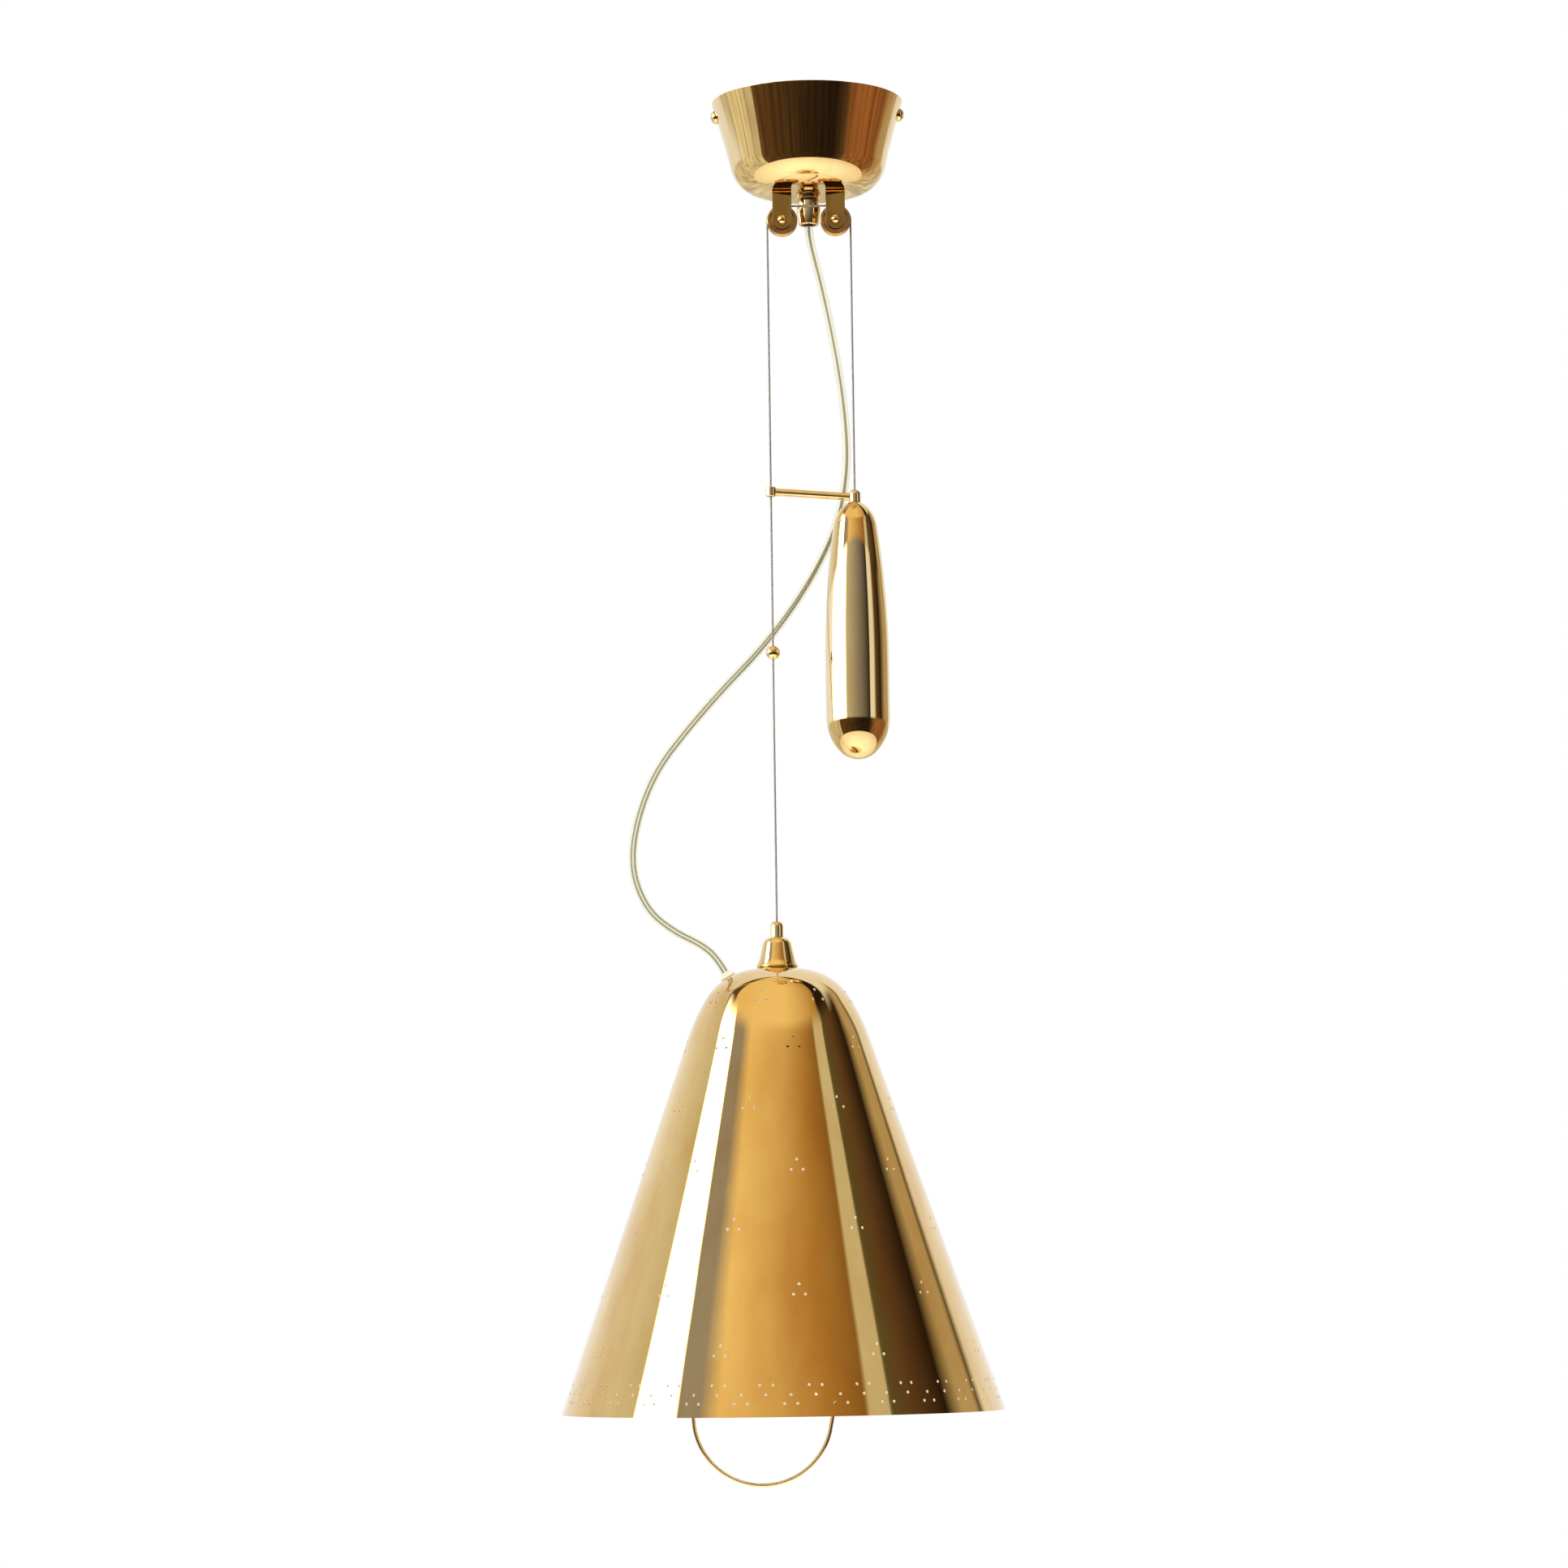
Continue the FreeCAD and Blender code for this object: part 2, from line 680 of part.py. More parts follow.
def build_terminal_block():
    """Two-way block under the bracket: a moulded body over brass sleeves with clamp screws."""
    block = doc.addObject("Part::Box", "block_moulding")
    for prop, text in (("Length", "block_length"), ("Width", "block_width"),
                       ("Height", "block_height")):
        bind(block, prop, text)
    place(block, x="- block_length/2", y="- block_width/2",
          z="- bracket_thickness - block_height")
    underside = "- bracket_thickness - block_height"
    drills = [rod("block_screw_drill", "block_screw_r", "block_height", z=underside)]
    sleeves, screws = [], []
    for sign, word in (("", "right"), ("- ", "left")):
        spot = {"x": sign + "block_pitch/2", "y": "- block_width/2",
                "z": "- bracket_thickness - block_height/2", "turn": ((1, 0, 0), -90)}
        drills.append(rod(f"block_bore_{word}", "block_bore_r", "block_width", **spot))
        holes = [rod(f"sleeve_bore_{word}", "sleeve_bore_r", "block_width", **spot)]
        for y, end in (("- clamp_screw_y", "front"), ("clamp_screw_y", "back")):
            under = {"x": sign + "block_pitch/2", "y": y, "z": underside}
            for owner, wall in (("block", drills), ("sleeve", holes)):
                wall.append(rod(f"{owner}_clamp_drill_{word}_{end}", "clamp_screw_r",
                                "block_height/2", **under))
            screws.append(rod(f"clamp_screw_{word}_{end}", "clamp_screw_r",
                              "block_height/2 - core_r - 0.1", **under))
        sleeve = rod(f"sleeve_bar_{word}", "block_bore_r", "block_width", **spot)
        sleeves.append(cut(f"sleeve_{word}", sleeve, holes))
    piece(cut("block_boring", block, drills), "terminal_block")
    piece(group("block_sleeves", sleeves), "terminal_sleeves")
    piece(group("clamp_screws", screws), "terminal_screws")
    piece(turned("block_screw_turning", [
        (0, "- 1.8"),
        ("block_screw_head_r - 0.6", "- 1.8"),
        ("block_screw_head_r", "- 1.2"),
        ("block_screw_head_r", 0),
        ("block_screw_r", 0),
        ("block_screw_r", "block_height + bracket_thickness"),
        (0, "block_height + bracket_thickness"),
    ], z=underside), "block_screw")


def build_gland():
    """Cord gland: body through the canopy, nut inside it, grip bush and cap below it."""
    piece(turned("gland_body_turning", [
        ("flex_r + 0.2", "- gland_waist_height - gland_spigot_length"),
        ("gland_spigot_r", "- gland_waist_height - gland_spigot_length"),
        ("gland_spigot_r", "- gland_waist_height"),
        ("gland_waist_r", "- gland_waist_height"),
        ("gland_waist_r", "- gland_collar_height"),
        ("gland_collar_edge_r", "- gland_collar_height"),
        ("gland_collar_r", "- 1"),
        ("gland_collar_r", 0),
        ("gland_thread_r", 0),
        ("gland_thread_r", "gland_stem_height"),
        ("flex_r + 0.2", "gland_stem_height"),
    ], z="- canopy_depth"), "gland_body")
    piece(hex_nut("gland_nut_blank", "gland_nut_flats", "gland_nut_height", "gland_thread_r",
                  z="canopy_wall - canopy_depth"), "gland_nut")
    piece(turned("gland_cap_turning", [
        ("gland_spigot_r", 0),
        ("gland_waist_r", 0),
        ("gland_cap_shoulder_r", "- 2.6", "- 2.7"),
        ("gland_cap_foot_r", "0.9 - gland_cap_length"),
        ("gland_cap_foot_r - 0.9", "- gland_cap_length", "- 1"),
        ("gland_cap_mouth_r", "- gland_cap_length"),
        ("gland_cap_mouth_r", "2 - gland_cap_length"),
        ("gland_spigot_r", "4.6 - gland_cap_length"),
    ], z="- canopy_depth - gland_waist_height"), "gland_cap")
    piece(turned("gland_bush_turning", [
        ("flex_r", "2 - gland_cap_length"),
        ("gland_cap_mouth_r", "2 - gland_cap_length"),
        ("gland_spigot_r", "4.6 - gland_cap_length"),
        ("gland_spigot_r", "- gland_spigot_length"),
        ("flex_r", "- gland_spigot_length"),
    ], z="- canopy_depth - gland_waist_height"), "gland_bush")


# ---- pulleys ----

def build_clevis(sign, word):
    """U-shaped strap: its web lies under the canopy and its round-ended cheeks carry the axle."""
    body = new_body(f"clevis_{word}_strap")
    outer = "clevis_half_gap + clevis_thickness"
    foot = "- axle_drop - clevis_tip + canopy_depth"
    bend_inner = "clevis_bend_r - clevis_thickness"
    section = draw(sketch_on(body, "YZ", "section"), [
        ("- " + outer.replace("+", "-"), foot),
        ("- clevis_half_gap", foot),
        ("- clevis_half_gap", "- clevis_bend_r"),
        ("- clevis_half_gap + clevis_bend_r - clevis_thickness", "- clevis_thickness",
         "- clevis_bend_r + clevis_thickness"),
        ("clevis_half_gap - clevis_bend_r + clevis_thickness", "- clevis_thickness"),
        ("clevis_half_gap", "- clevis_bend_r", "- clevis_bend_r + clevis_thickness"),
        ("clevis_half_gap", foot),
        (outer, foot),
        (outer, "- clevis_bend_r"),
        (outer + " - clevis_bend_r", 0, "clevis_bend_r"),
        ("- clevis_half_gap - clevis_thickness + clevis_bend_r", 0),
        ("- clevis_half_gap - clevis_thickness", "- clevis_bend_r", "clevis_bend_r"),
    ])
    strap = pad(body, section, "clevis_width", "bend")
    doc.recompute()
    tip = number(foot)
    corners = [f"Edge{i + 1}" for i, edge in enumerate(strap.Shape.Edges)
               if all(abs(v.Z - tip) < 0.01 for v in edge.Vertexes)
               and abs(edge.Vertexes[0].Y - edge.Vertexes[1].Y) > 1]
    ends = body.newObject("PartDesign::Fillet", f"{body.Name}_ends")
    ends.Base = (strap, corners)
    bind(ends, "Radius", "clevis_end_r")
    body.Tip = ends
    pocket(body, circles(sketch_on(body, "XZ", "axle"),
                         [(0, "canopy_depth - axle_drop", "axle_r")]), "axle_hole")
    screw = sketch_on(body, "XY", "screw")
    circles(screw, [(0, 0, "clevis_screw_r")])
    pocket(body, screw, "screw_hole")
    place(body, x=sign + "fall_x" + flip(sign) + "groove_centre_r", y="rope_plane_y",
          z="- canopy_depth")
    piece(body, f"clevis_{word}")


def build_clevis_fixings():
    """A pan-head screw through each web, with a nut inside the canopy."""
    screws, nuts = [], []
    for sign, word in (("", "right"), ("- ", "left")):
        x = sign + "fall_x" + flip(sign) + "groove_centre_r"
        screws.append(turned(f"clevis_screw_{word}", [
            (0, "- clevis_thickness - clevis_screw_head_height"),
            ("clevis_screw_head_r - 1", "- clevis_thickness - clevis_screw_head_height"),
            ("clevis_screw_head_r", "1 - clevis_thickness - clevis_screw_head_height", "1.05"),
            ("clevis_screw_head_r", "- clevis_thickness"),
            ("clevis_screw_r", "- clevis_thickness"),
            ("clevis_screw_r", "canopy_wall + clevis_nut_height + 1"),
            (0, "canopy_wall + clevis_nut_height + 1"),
        ], x=x, y="rope_plane_y", z="- canopy_depth"))
        nuts.append(hex_nut(f"clevis_nut_{word}", "clevis_nut_flats", "clevis_nut_height",
                            "clevis_screw_r", x=x, y="rope_plane_y",
                            z="canopy_wall - canopy_depth"))
    piece(group("clevis_screw_pair", screws), "clevis_screws")
    piece(group("clevis_nut_pair", nuts), "clevis_nuts")


def build_pulley(sign, word):
    """Grooved brass wheel on a bronze bush, and the fixed axle riveted in the cheeks."""
    spot = {"x": sign + "fall_x" + flip(sign) + "groove_centre_r", "y": "rope_plane_y",
            "z": "- axle_drop", "turn": ((1, 0, 0), 90)}
    web = "wheel_half_width - wheel_web_step"
    upper = [
        ("bush_outer_r", "wheel_half_width"),
        ("wheel_hub_r", "wheel_half_width"),
        ("wheel_hub_r + 0.4", web),
        ("wheel_web_edge_r - 0.4", web),
        ("wheel_web_edge_r", "wheel_half_width"),
        ("wheel_flange_r - wheel_edge", "wheel_half_width"),
        ("wheel_flange_r", "wheel_half_width - wheel_edge"),
        ("wheel_flange_r", "groove_mouth"),
        ("groove_shoulder_r", "groove_shoulder"),
    ]
    lower = [(r, mirror(w)) for r, w in reversed(upper)]
    lower[0] = lower[0] + ("groove_arc",)
    piece(turned(f"pulley_{word}_turning", upper + lower, **spot), f"pulley_wheel_{word}")
    piece(turned(f"pulley_bush_{word}_turning", [
        ("bush_bore_r", "- bush_half_length"),
        ("bush_outer_r", "- bush_half_length"),
        ("bush_outer_r", "bush_half_length"),
        ("bush_bore_r", "bush_half_length"),
    ], **spot), f"pulley_bush_{word}")
    face = "clevis_half_gap + clevis_thickness"
    piece(turned(f"axle_{word}_turning", [
        (0, "- clevis_half_gap - clevis_thickness - axle_tail_rise"),
        ("axle_head_r", "- clevis_half_gap - clevis_thickness", "axle_tail_arc"),
        ("axle_r", "- clevis_half_gap - clevis_thickness"),
        ("axle_r", face),
        ("axle_head_r", face),
        ("axle_head_r", face + " + 0.5"),
        (0, face + " + axle_head_rise", "axle_head_arc"),
    ], **spot), f"axle_{word}")


def build_rope_bridge():
    """Rope from pulley to pulley: a quarter turn in each groove and the straight between."""
    centre_x, radius = number("fall_x - groove_centre_r"), number("groove_centre_r")
    y, z = number("rope_plane_y"), -number("axle_drop")
    diagonal = radius * math.sqrt(0.5)

    def point(side, out, rise):
        return Vector(side * (centre_x + out), y, z + rise)

    wraps = [Part.Arc(point(side, radius, 0), point(side, diagonal, diagonal),
                      point(side, 0, radius)).toShape() for side in (-1, 1)]
    straight = Part.LineSegment(point(-1, 0, radius), point(1, 0, radius)).toShape()
    path = Part.Wire([wraps[0], straight, wraps[1]])
    piece(tube("rope_bridge_sweep", path, number("rope_r")), "rope_bridge")


# ---- lamp ----

def build_left_rope():
    """Rope from the left pulley down to the ferrule, with the stop ball clamped on it."""
    length = "lamp_ferrule_base_drop - lamp_ferrule_height + 4 - axle_drop"
    line = {"x": "- fall_x", "y": "rope_plane_y"}
    piece(rod("rope_left_bar", "rope_r", length,
              z="- lamp_ferrule_base_drop + lamp_ferrule_height - 4", **line), "rope_left")
    ball = doc.addObject("Part::Sphere", "stop_ball_blank")
    bind(ball, "Radius", "stop_ball_r")
    place(ball, z="- stop_ball_drop", **line)
    bore = rod("stop_ball_bore", "rope_r", "stop_ball_r + stop_ball_r",
               z="- stop_ball_drop - stop_ball_r", **line)
    tapping = rod("stop_ball_tapping", "1.5", "stop_ball_r", z="- stop_ball_drop",
                  turn=((1, 0, 0), -90), **line)
    piece(cut("stop_ball_boring", ball, [bore, tapping]), "stop_ball")
    screw = rod("stop_screw_bar", "1.5", "4", x="- fall_x", y="rope_plane_y + rope_r",
                z="- stop_ball_drop", turn=((1, 0, 0), -90))
    piece(screw, "stop_screw")


def build_neck():
    """Ferrule on the rope's end, screwed through the bell-shaped cap into the nipple."""
    spot = {"x": "- fall_x", "y": "rope_plane_y"}
    dome = "lamp_ferrule_r - rope_r"
    piece(turned("lamp_ferrule_turning", [
        (0, "- stud_length"),
        ("stud_r", "- stud_length"),
        ("stud_r", 0),
        ("lamp_ferrule_r", 0),
        ("lamp_ferrule_r", "lamp_ferrule_height - lamp_ferrule_r + rope_r"),
        ("rope_r", "lamp_ferrule_height", "ferrule_dome_arc"),
        ("rope_r", "lamp_ferrule_height - 4"),
        (0, "lamp_ferrule_height - 4"),
    ], z="- lamp_ferrule_base_drop", **spot), "lamp_ferrule")
    piece(turned("neck_cap_turning", [
        ("stud_r", 0),
        ("neck_top_r", 0),
        ("neck_shoulder_r", "neck_shoulder_rise - neck_height", "- neck_shoulder_arc"),
        ("neck_flare_r", "neck_flare_rise - neck_height"),
        ("neck_lip_r", "neck_lip_height - neck_height", "neck_flare_arc"),
        ("neck_base_r", "- neck_height"),
        ("neck_base_r - neck_wall", "- neck_height"),
        ("neck_flare_r - neck_wall", "neck_flare_rise - neck_height"),
        ("neck_shoulder_r - neck_wall", "neck_shoulder_rise - neck_height"),
        ("neck_top_r", "- neck_wall - 1.7"),
        ("stud_r", "- neck_wall - 1.7"),
    ], z="- lamp_ferrule_base_drop", **spot), "neck_cap")


def build_shade():
    """Spun brass shade: domed crown, round shoulder and a long straight cone to a thin rim."""
    shell = spun_shell("shade", [
        ("shade_hole_r", "- shade_hole_dip"),
        ("shade_crown_r", "- shade_crown_dip", "- shade_crown_arc"),
        ("shade_shoulder_r", "- shade_shoulder_dip", "- shade_shoulder_arc"),
        ("shade_skirt_r", "- shade_skirt_dip", "- shade_skirt_arc"),
        ("shade_rim_r", "- shade_height"),
    ], "shade_wall")
    entry = rod("shade_entry_drill", "entry_hole_r", "20",
                x="- entry_offset + entry_drill_back", z="- entry_dip - entry_drill_down",
                turn=((0, 1, 0), -number("entry_tilt")))
    bored = cut("shade_drilling", shell, [entry])
    place(bored, x="- fall_x", y="rope_plane_y", z="- shade_top_drop")
    piece(bored, "shade")


def build_stem():
    """Nipple down the middle with the crown washer, its nuts and the strap under them."""
    line = {"x": "- fall_x", "y": "rope_plane_y"}
    piece(turned("nipple_turning", [
        ("nipple_bore_r", "- nipple_length"),
        ("nipple_r", "- nipple_length"),
        ("nipple_r", 0),
        ("nipple_bore_r", 0),
    ], z="- lamp_ferrule_base_drop - neck_wall - 1.7", **line), "nipple")
    washer_top = "- shade_top_drop - crown_washer_dip"
    piece(turned("crown_washer_turning", [
        ("nipple_r", "- crown_washer_thickness"),
        ("crown_washer_r", "- crown_washer_thickness"),
        ("crown_washer_r", 0),
        ("nipple_r", 0),
    ], z=washer_top, **line), "crown_washer")
    nuts = [
        hex_nut("crown_nut", "nipple_nut_flats", "nipple_nut_height", "nipple_r",
                z=washer_top + " - crown_washer_thickness - nipple_nut_height", **line),
        hex_nut("strap_nut", "nipple_nut_flats", "nipple_nut_height", "nipple_r",
                z="- shade_top_drop - strap_dip", **line),
    ]
    piece(group("nipple_nut_pair", nuts), "nipple_nuts")
    strap = new_body("handle_strap_bar")
    half, end = "strap_width/2", "handle_hole_x"
    outline = draw(sketch_on(strap, "XY", "outline"), [
        ("handle_hole_x", "- strap_width/2"),
        ("handle_hole_x + strap_width/2", 0, "strap_end_arc"),
        ("handle_hole_x", "strap_width/2", "strap_end_arc"),
        ("- handle_hole_x", "strap_width/2"),
        ("- handle_hole_x - strap_width/2", 0, "strap_end_arc"),
        ("- handle_hole_x", "- strap_width/2", "strap_end_arc"),
    ])
    pad(strap, outline, "strap_thickness", "thickness")
    pocket(strap, circles(sketch_on(strap, "XY", "holes"), [
        (0, 0, "nipple_r"),
        ("handle_hole_x", 0, "handle_wire_r"),
        ("- handle_hole_x", 0, "handle_wire_r"),
    ]), "drilling")
    place(strap, z="- shade_top_drop - strap_dip - strap_thickness/2", **line)
    piece(strap, "handle_strap")


def build_handle():
    """Pull handle: brass wire bent to a bow, leaning a little, its ends nutted to the strap."""
    axis_x, y = -number("fall_x"), number("rope_plane_y")
    strap_z = -number("shade_top_drop + strap_dip")
    lean = math.radians(number("handle_lean"))
    slope = math.radians(number("handle_leg_slope"))
    bow_r, bow_z = number("handle_bow_r"), -number("handle_bow_drop")

    def leaning(x, z):
        return Vector(axis_x + x * math.cos(lean) + z * math.sin(lean), y,
                      strap_z - x * math.sin(lean) + z * math.cos(lean))

    def leg(side):
        stub_x = axis_x + side * number("handle_hole_x")
        top = Vector(stub_x, y, strap_z + number("handle_stub"))
        knee = Vector(stub_x, y, strap_z - 3 * number("handle_stub"))
        flare = leaning(side * number("handle_flare_x"), -number("handle_flare_drop"))
        foot = leaning(side * bow_r * math.cos(slope), bow_z - bow_r * math.sin(slope))
        radii = (number("handle_knee_arc"), number("handle_flare_arc"))
        return rounded_route([top, knee, flare, foot], radii).Edges

    left, right = leg(-1), leg(1)
    bow = Part.Arc(left[-1].Vertexes[-1].Point, leaning(0, bow_z - bow_r),
                   right[-1].Vertexes[-1].Point).toShape()
    path = Part.Wire(left + [bow] + right[::-1])
    piece(tube("handle_wire", path, number("handle_wire_r")), "handle")
    nuts = []
    for sign, word in (("+ ", "right"), ("- ", "left")):
        for z, level in (("0", "above"),
                         ("- strap_thickness - handle_nut_height", "below")):
            nuts.append(hex_nut(f"handle_nut_{word}_{level}", "handle_nut_flats",
                                "handle_nut_height", "handle_wire_r",
                                x="- fall_x " + sign + "handle_hole_x", y="rope_plane_y",
                                z="- shade_top_drop - strap_dip + " + z if z == "0"
                                else "- shade_top_drop - strap_dip " + z))
    piece(group("handle_nut_set", nuts), "handle_nuts")


def build_lampholder():
    """Screw lampholder: metal cap on the nipple, shell, ceramic core, sleeve and contacts."""
    spot = {"x": "- fall_x", "y": "rope_plane_y", "z": "- shade_top_drop - holder_top_dip"}
    cap = turned("holder_cap_turning", [
        ("nipple_r", 0),
        ("nipple_r + 4", 0),
        ("holder_cap_r", "- 8", "- 14"),
        ("holder_cap_r", "- holder_cap_height"),
        ("holder_cap_r - holder_wall", "- holder_cap_height"),
        ("holder_cap_r - holder_wall", "- 8.5"),
        ("nipple_r + 4", "- 2"),
        ("nipple_r", "- 2"),
    ], **spot)
    entry = rod("holder_lead_drill", "lead_r + 0.8", "25", x="- holder_lead_x", y="holder_lead_y",
                z="- holder_lead_drop", turn=((0, 1, 0), -number("holder_lead_tilt")))
    piece(cut("holder_cap_drilling", cap, [entry]), "holder_cap")
    piece(turned("holder_core_turning", [
        (0, "- holder_cap_height"),
        ("holder_mouth_r", "- holder_cap_height"),
        ("holder_mouth_r", "- holder_cap_height + 1"),
        ("holder_cap_r - holder_wall - 0.2", "- holder_cap_height + 1"),
        ("holder_cap_r - holder_wall - 0.2", "- holder_cap_height + 6"),
        ("nipple_r + 4", "- holder_cap_height + 6"),
        ("nipple_r + 4", "- holder_cap_height + 3"),
        (0, "- holder_cap_height + 3"),
    ], **spot), "holder_core")
    mouth = "- holder_cap_height - holder_shell_length"
    piece(turned("holder_shell_turning", [
        ("holder_mouth_r + holder_sleeve_wall", mouth),
        ("holder_shell_r - 2", mouth),
        ("holder_shell_r", mouth + " + 2", "2.1"),
        ("holder_shell_r", "- holder_cap_height"),
        ("holder_mouth_r + holder_sleeve_wall", "- holder_cap_height"),
    ], **spot), "holder_shell")
    piece(turned("holder_sleeve_turning", [
        ("holder_mouth_r", "- holder_cap_height - holder_sleeve_length - 6"),
        ("holder_mouth_r + holder_sleeve_wall",
         "- holder_cap_height - holder_sleeve_length - 6"),
        ("holder_mouth_r + holder_sleeve_wall", "- holder_cap_height - 3"),
        ("holder_mouth_r", "- holder_cap_height - 3"),
    ], **spot), "holder_sleeve")
    piece(turned("holder_contact_turning", [
        (0, "- holder_cap_height - 3"),
        ("2", "- holder_cap_height - 3"),
        ("4", "- holder_cap_height - 1.2"),
        ("4", "- holder_cap_height"),
        (0, "- holder_cap_height"),
    ], **spot), "holder_contact")


def route_tube(name, route, radius):
    """Tube along a route of flex: each arc takes 0.45 of the shorter run beside it."""
    points = [Vector(*p) for p in route]
    radii = []
    for before, corner, after in zip(points, points[1:], points[2:]):
        half_turn = (corner - before).getAngle(after - corner) / 2
        shorter = min((corner - before).Length, (after - corner).Length)
        radii.append(0.45 * shorter / math.tan(half_turn))
    print(f"{name}: arc radii", ", ".join(f"{r:.0f}" for r in radii),
          "| runs", ", ".join(f"{(b - a).Length:.0f}" for a, b in zip(points, points[1:])))
    return tube(name, rounded_route(points, radii), number(radius))


def build_flex():
    """Clear twin flex: tail and cores above the gland, free stretch, bush, lead to the holder."""
    piece(route_tube("flex_sweep", FLEX_ROUTE, "flex_r"), "flex")
    piece(route_tube("flex_tail_sweep", TAIL_ROUTE, "flex_r"), "flex_tail")
    mirrored = [(-x, y, z) for x, y, z in CORE_ROUTE]
    piece(group("supply_core_pair", [
        route_tube("supply_core_right", CORE_ROUTE, "core_r"),
        route_tube("supply_core_left", mirrored, "core_r"),
    ]), "supply_cores")
    piece(route_tube("holder_lead_sweep", LEAD_ROUTE, "lead_r"), "holder_lead")
    spot = {"x": "- fall_x - entry_offset", "y": "rope_plane_y",
            "z": "- shade_top_drop - entry_dip", "turn": ((0, 1, 0), -number("entry_tilt"))}
    piece(turned("flex_bush_turning", [
        ("flex_r", "- 3.2"),
        ("entry_flange_r - 0.6", "- 3.2"),
        ("entry_flange_r - 0.6", "- shade_wall - 0.6"),
        ("entry_hole_r", "- shade_wall - 0.6"),
        ("entry_hole_r", 0),
        ("entry_flange_r", 0),
        ("entry_flange_r", "0.8"),
        ("entry_hole_r", "entry_flange_rise", "2.2"),
        ("flex_r", "entry_flange_rise"),
    ], **spot), "flex_bush")


# ---- counterweight ----

def build_counterweight():
    """Brass bob with a poured iron filling, its ferrule and the rope up to the right pulley."""
    line = {"x": "fall_x", "y": "rope_plane_y"}
    top = "- weight_top_drop"
    piece(rod("rope_right_bar", "rope_r",
              "weight_top_drop - weight_ferrule_height + 4 - axle_drop",
              z=top + " + weight_ferrule_height - 4", **line), "rope_right")
    piece(turned("weight_ferrule_turning", [
        (0, "- stud_length"),
        ("stud_r", "- stud_length"),
        ("stud_r", 0),
        ("weight_ferrule_r", 0),
        ("weight_ferrule_r", "weight_ferrule_height - weight_ferrule_r + rope_r"),
        ("rope_r", "weight_ferrule_height", "weight_dome_arc"),
        ("rope_r", "weight_ferrule_height - 4"),
        (0, "weight_ferrule_height - 4"),
    ], z=top, **line), "weight_ferrule")
    inner = "weight_body_r - weight_wall"
    piece(turned("weight_shell_turning", [
        ("stud_r", 0),
        ("weight_neck_r", 0),
        ("weight_shoulder_r", "- weight_shoulder_dip", "- weight_shoulder_arc"),
        ("weight_body_r", "- weight_body_dip", "- weight_body_arc"),
        ("weight_body_r", "- weight_belly_dip"),
        ("weight_heel_r", "- weight_heel_dip", "- weight_heel_arc"),
        (0, "- weight_length", "- weight_foot_arc"),
        (0, "weight_wall - weight_length"),
        ("weight_heel_r - 0.72", "0.694 - weight_heel_dip", "weight_foot_arc - weight_wall"),
        (inner, "- weight_belly_dip", "weight_heel_arc - weight_wall"),
        (inner, "- weight_body_dip"),
        ("weight_shoulder_r - 0.99", "- weight_shoulder_dip - 0.14",
         "weight_body_arc - weight_wall"),
        ("weight_neck_r - 0.4", "- weight_wall", "weight_shoulder_arc - weight_wall"),
        ("stud_r", "- weight_wall"),
    ], z=top, **line), "weight_shell")
    piece(turned("weight_core_turning", [
        (0, "- weight_fill_dip"),
        ("weight_fill_r", "- weight_fill_dip"),
        (inner, "- weight_body_dip", "- weight_body_arc + weight_wall"),
        (inner, "- weight_belly_dip"),
        ("weight_heel_r - 0.72", "0.694 - weight_heel_dip", "- weight_heel_arc + weight_wall"),
        (0, "weight_wall - weight_length", "- weight_foot_arc + weight_wall"),
    ], z=top, **line), "weight_core")


def build_guide_arm():
    """Arm from the counterweight's ferrule to an eye that slides on the left rope."""
    y = number("rope_plane_y")
    reach = number("fall_x") * 2
    fall = number("guide_rod_fall")
    start_gap, end_gap = number("guide_eye_r") - 0.4, number("weight_ferrule_r") - 0.4
    left = Vector(-number("fall_x"), y, -number("guide_eye_drop"))
    right = Vector(number("fall_x"), y, -number("guide_eye_drop") - fall)
    along = (right - left).normalize()
    bar = Part.makeCylinder(number("guide_rod_r"), (right - left).Length - start_gap - end_gap,
                            left + along * start_gap, along)
    ferrule_room = Part.makeCylinder(number("weight_ferrule_r"), 30, right - Vector(0, 0, 15))
    eye_room = Part.makeCylinder(number("guide_eye_r"), 30, left - Vector(0, 0, 15))
    arm = doc.addObject("Part::Feature", "guide_rod")
    arm.Shape = bar.cut(ferrule_room).cut(eye_room)
    piece(arm, "guide_rod")
    spot = {"x": "- fall_x", "y": "rope_plane_y", "z": "- guide_eye_drop"}
    half = "guide_eye_height/2"
    piece(turned("guide_eye_turning", [
        ("guide_liner_r", "- guide_eye_height/2"),
        ("guide_eye_r - 0.6", "- guide_eye_height/2"),
        ("guide_eye_r", "0.6 - guide_eye_height/2"),
        ("guide_eye_r", "guide_eye_height/2 - 0.6"),
        ("guide_eye_r - 0.6", half),
        ("guide_liner_r", half),
    ], **spot), "guide_eye")
    piece(turned("guide_liner_turning", [
        ("guide_liner_bore_r", "- guide_eye_height/2"),
        ("guide_liner_r", "- guide_eye_height/2"),
        ("guide_liner_r", half),
        ("guide_liner_bore_r", half),
    ], **spot), "guide_liner")


build_ceiling_bracket()
build_canopy()
build_side_screws()
build_terminal_block()
build_gland()
for sign, word in (("- ", "left"), ("", "right")):
    build_clevis(sign, word)
    build_pulley(sign, word)
build_clevis_fixings()
build_rope_bridge()
build_left_rope()
build_neck()
build_shade()
build_stem()
build_handle()
build_lampholder()
build_flex()
build_counterweight()
build_guide_arm()
doc.recompute()

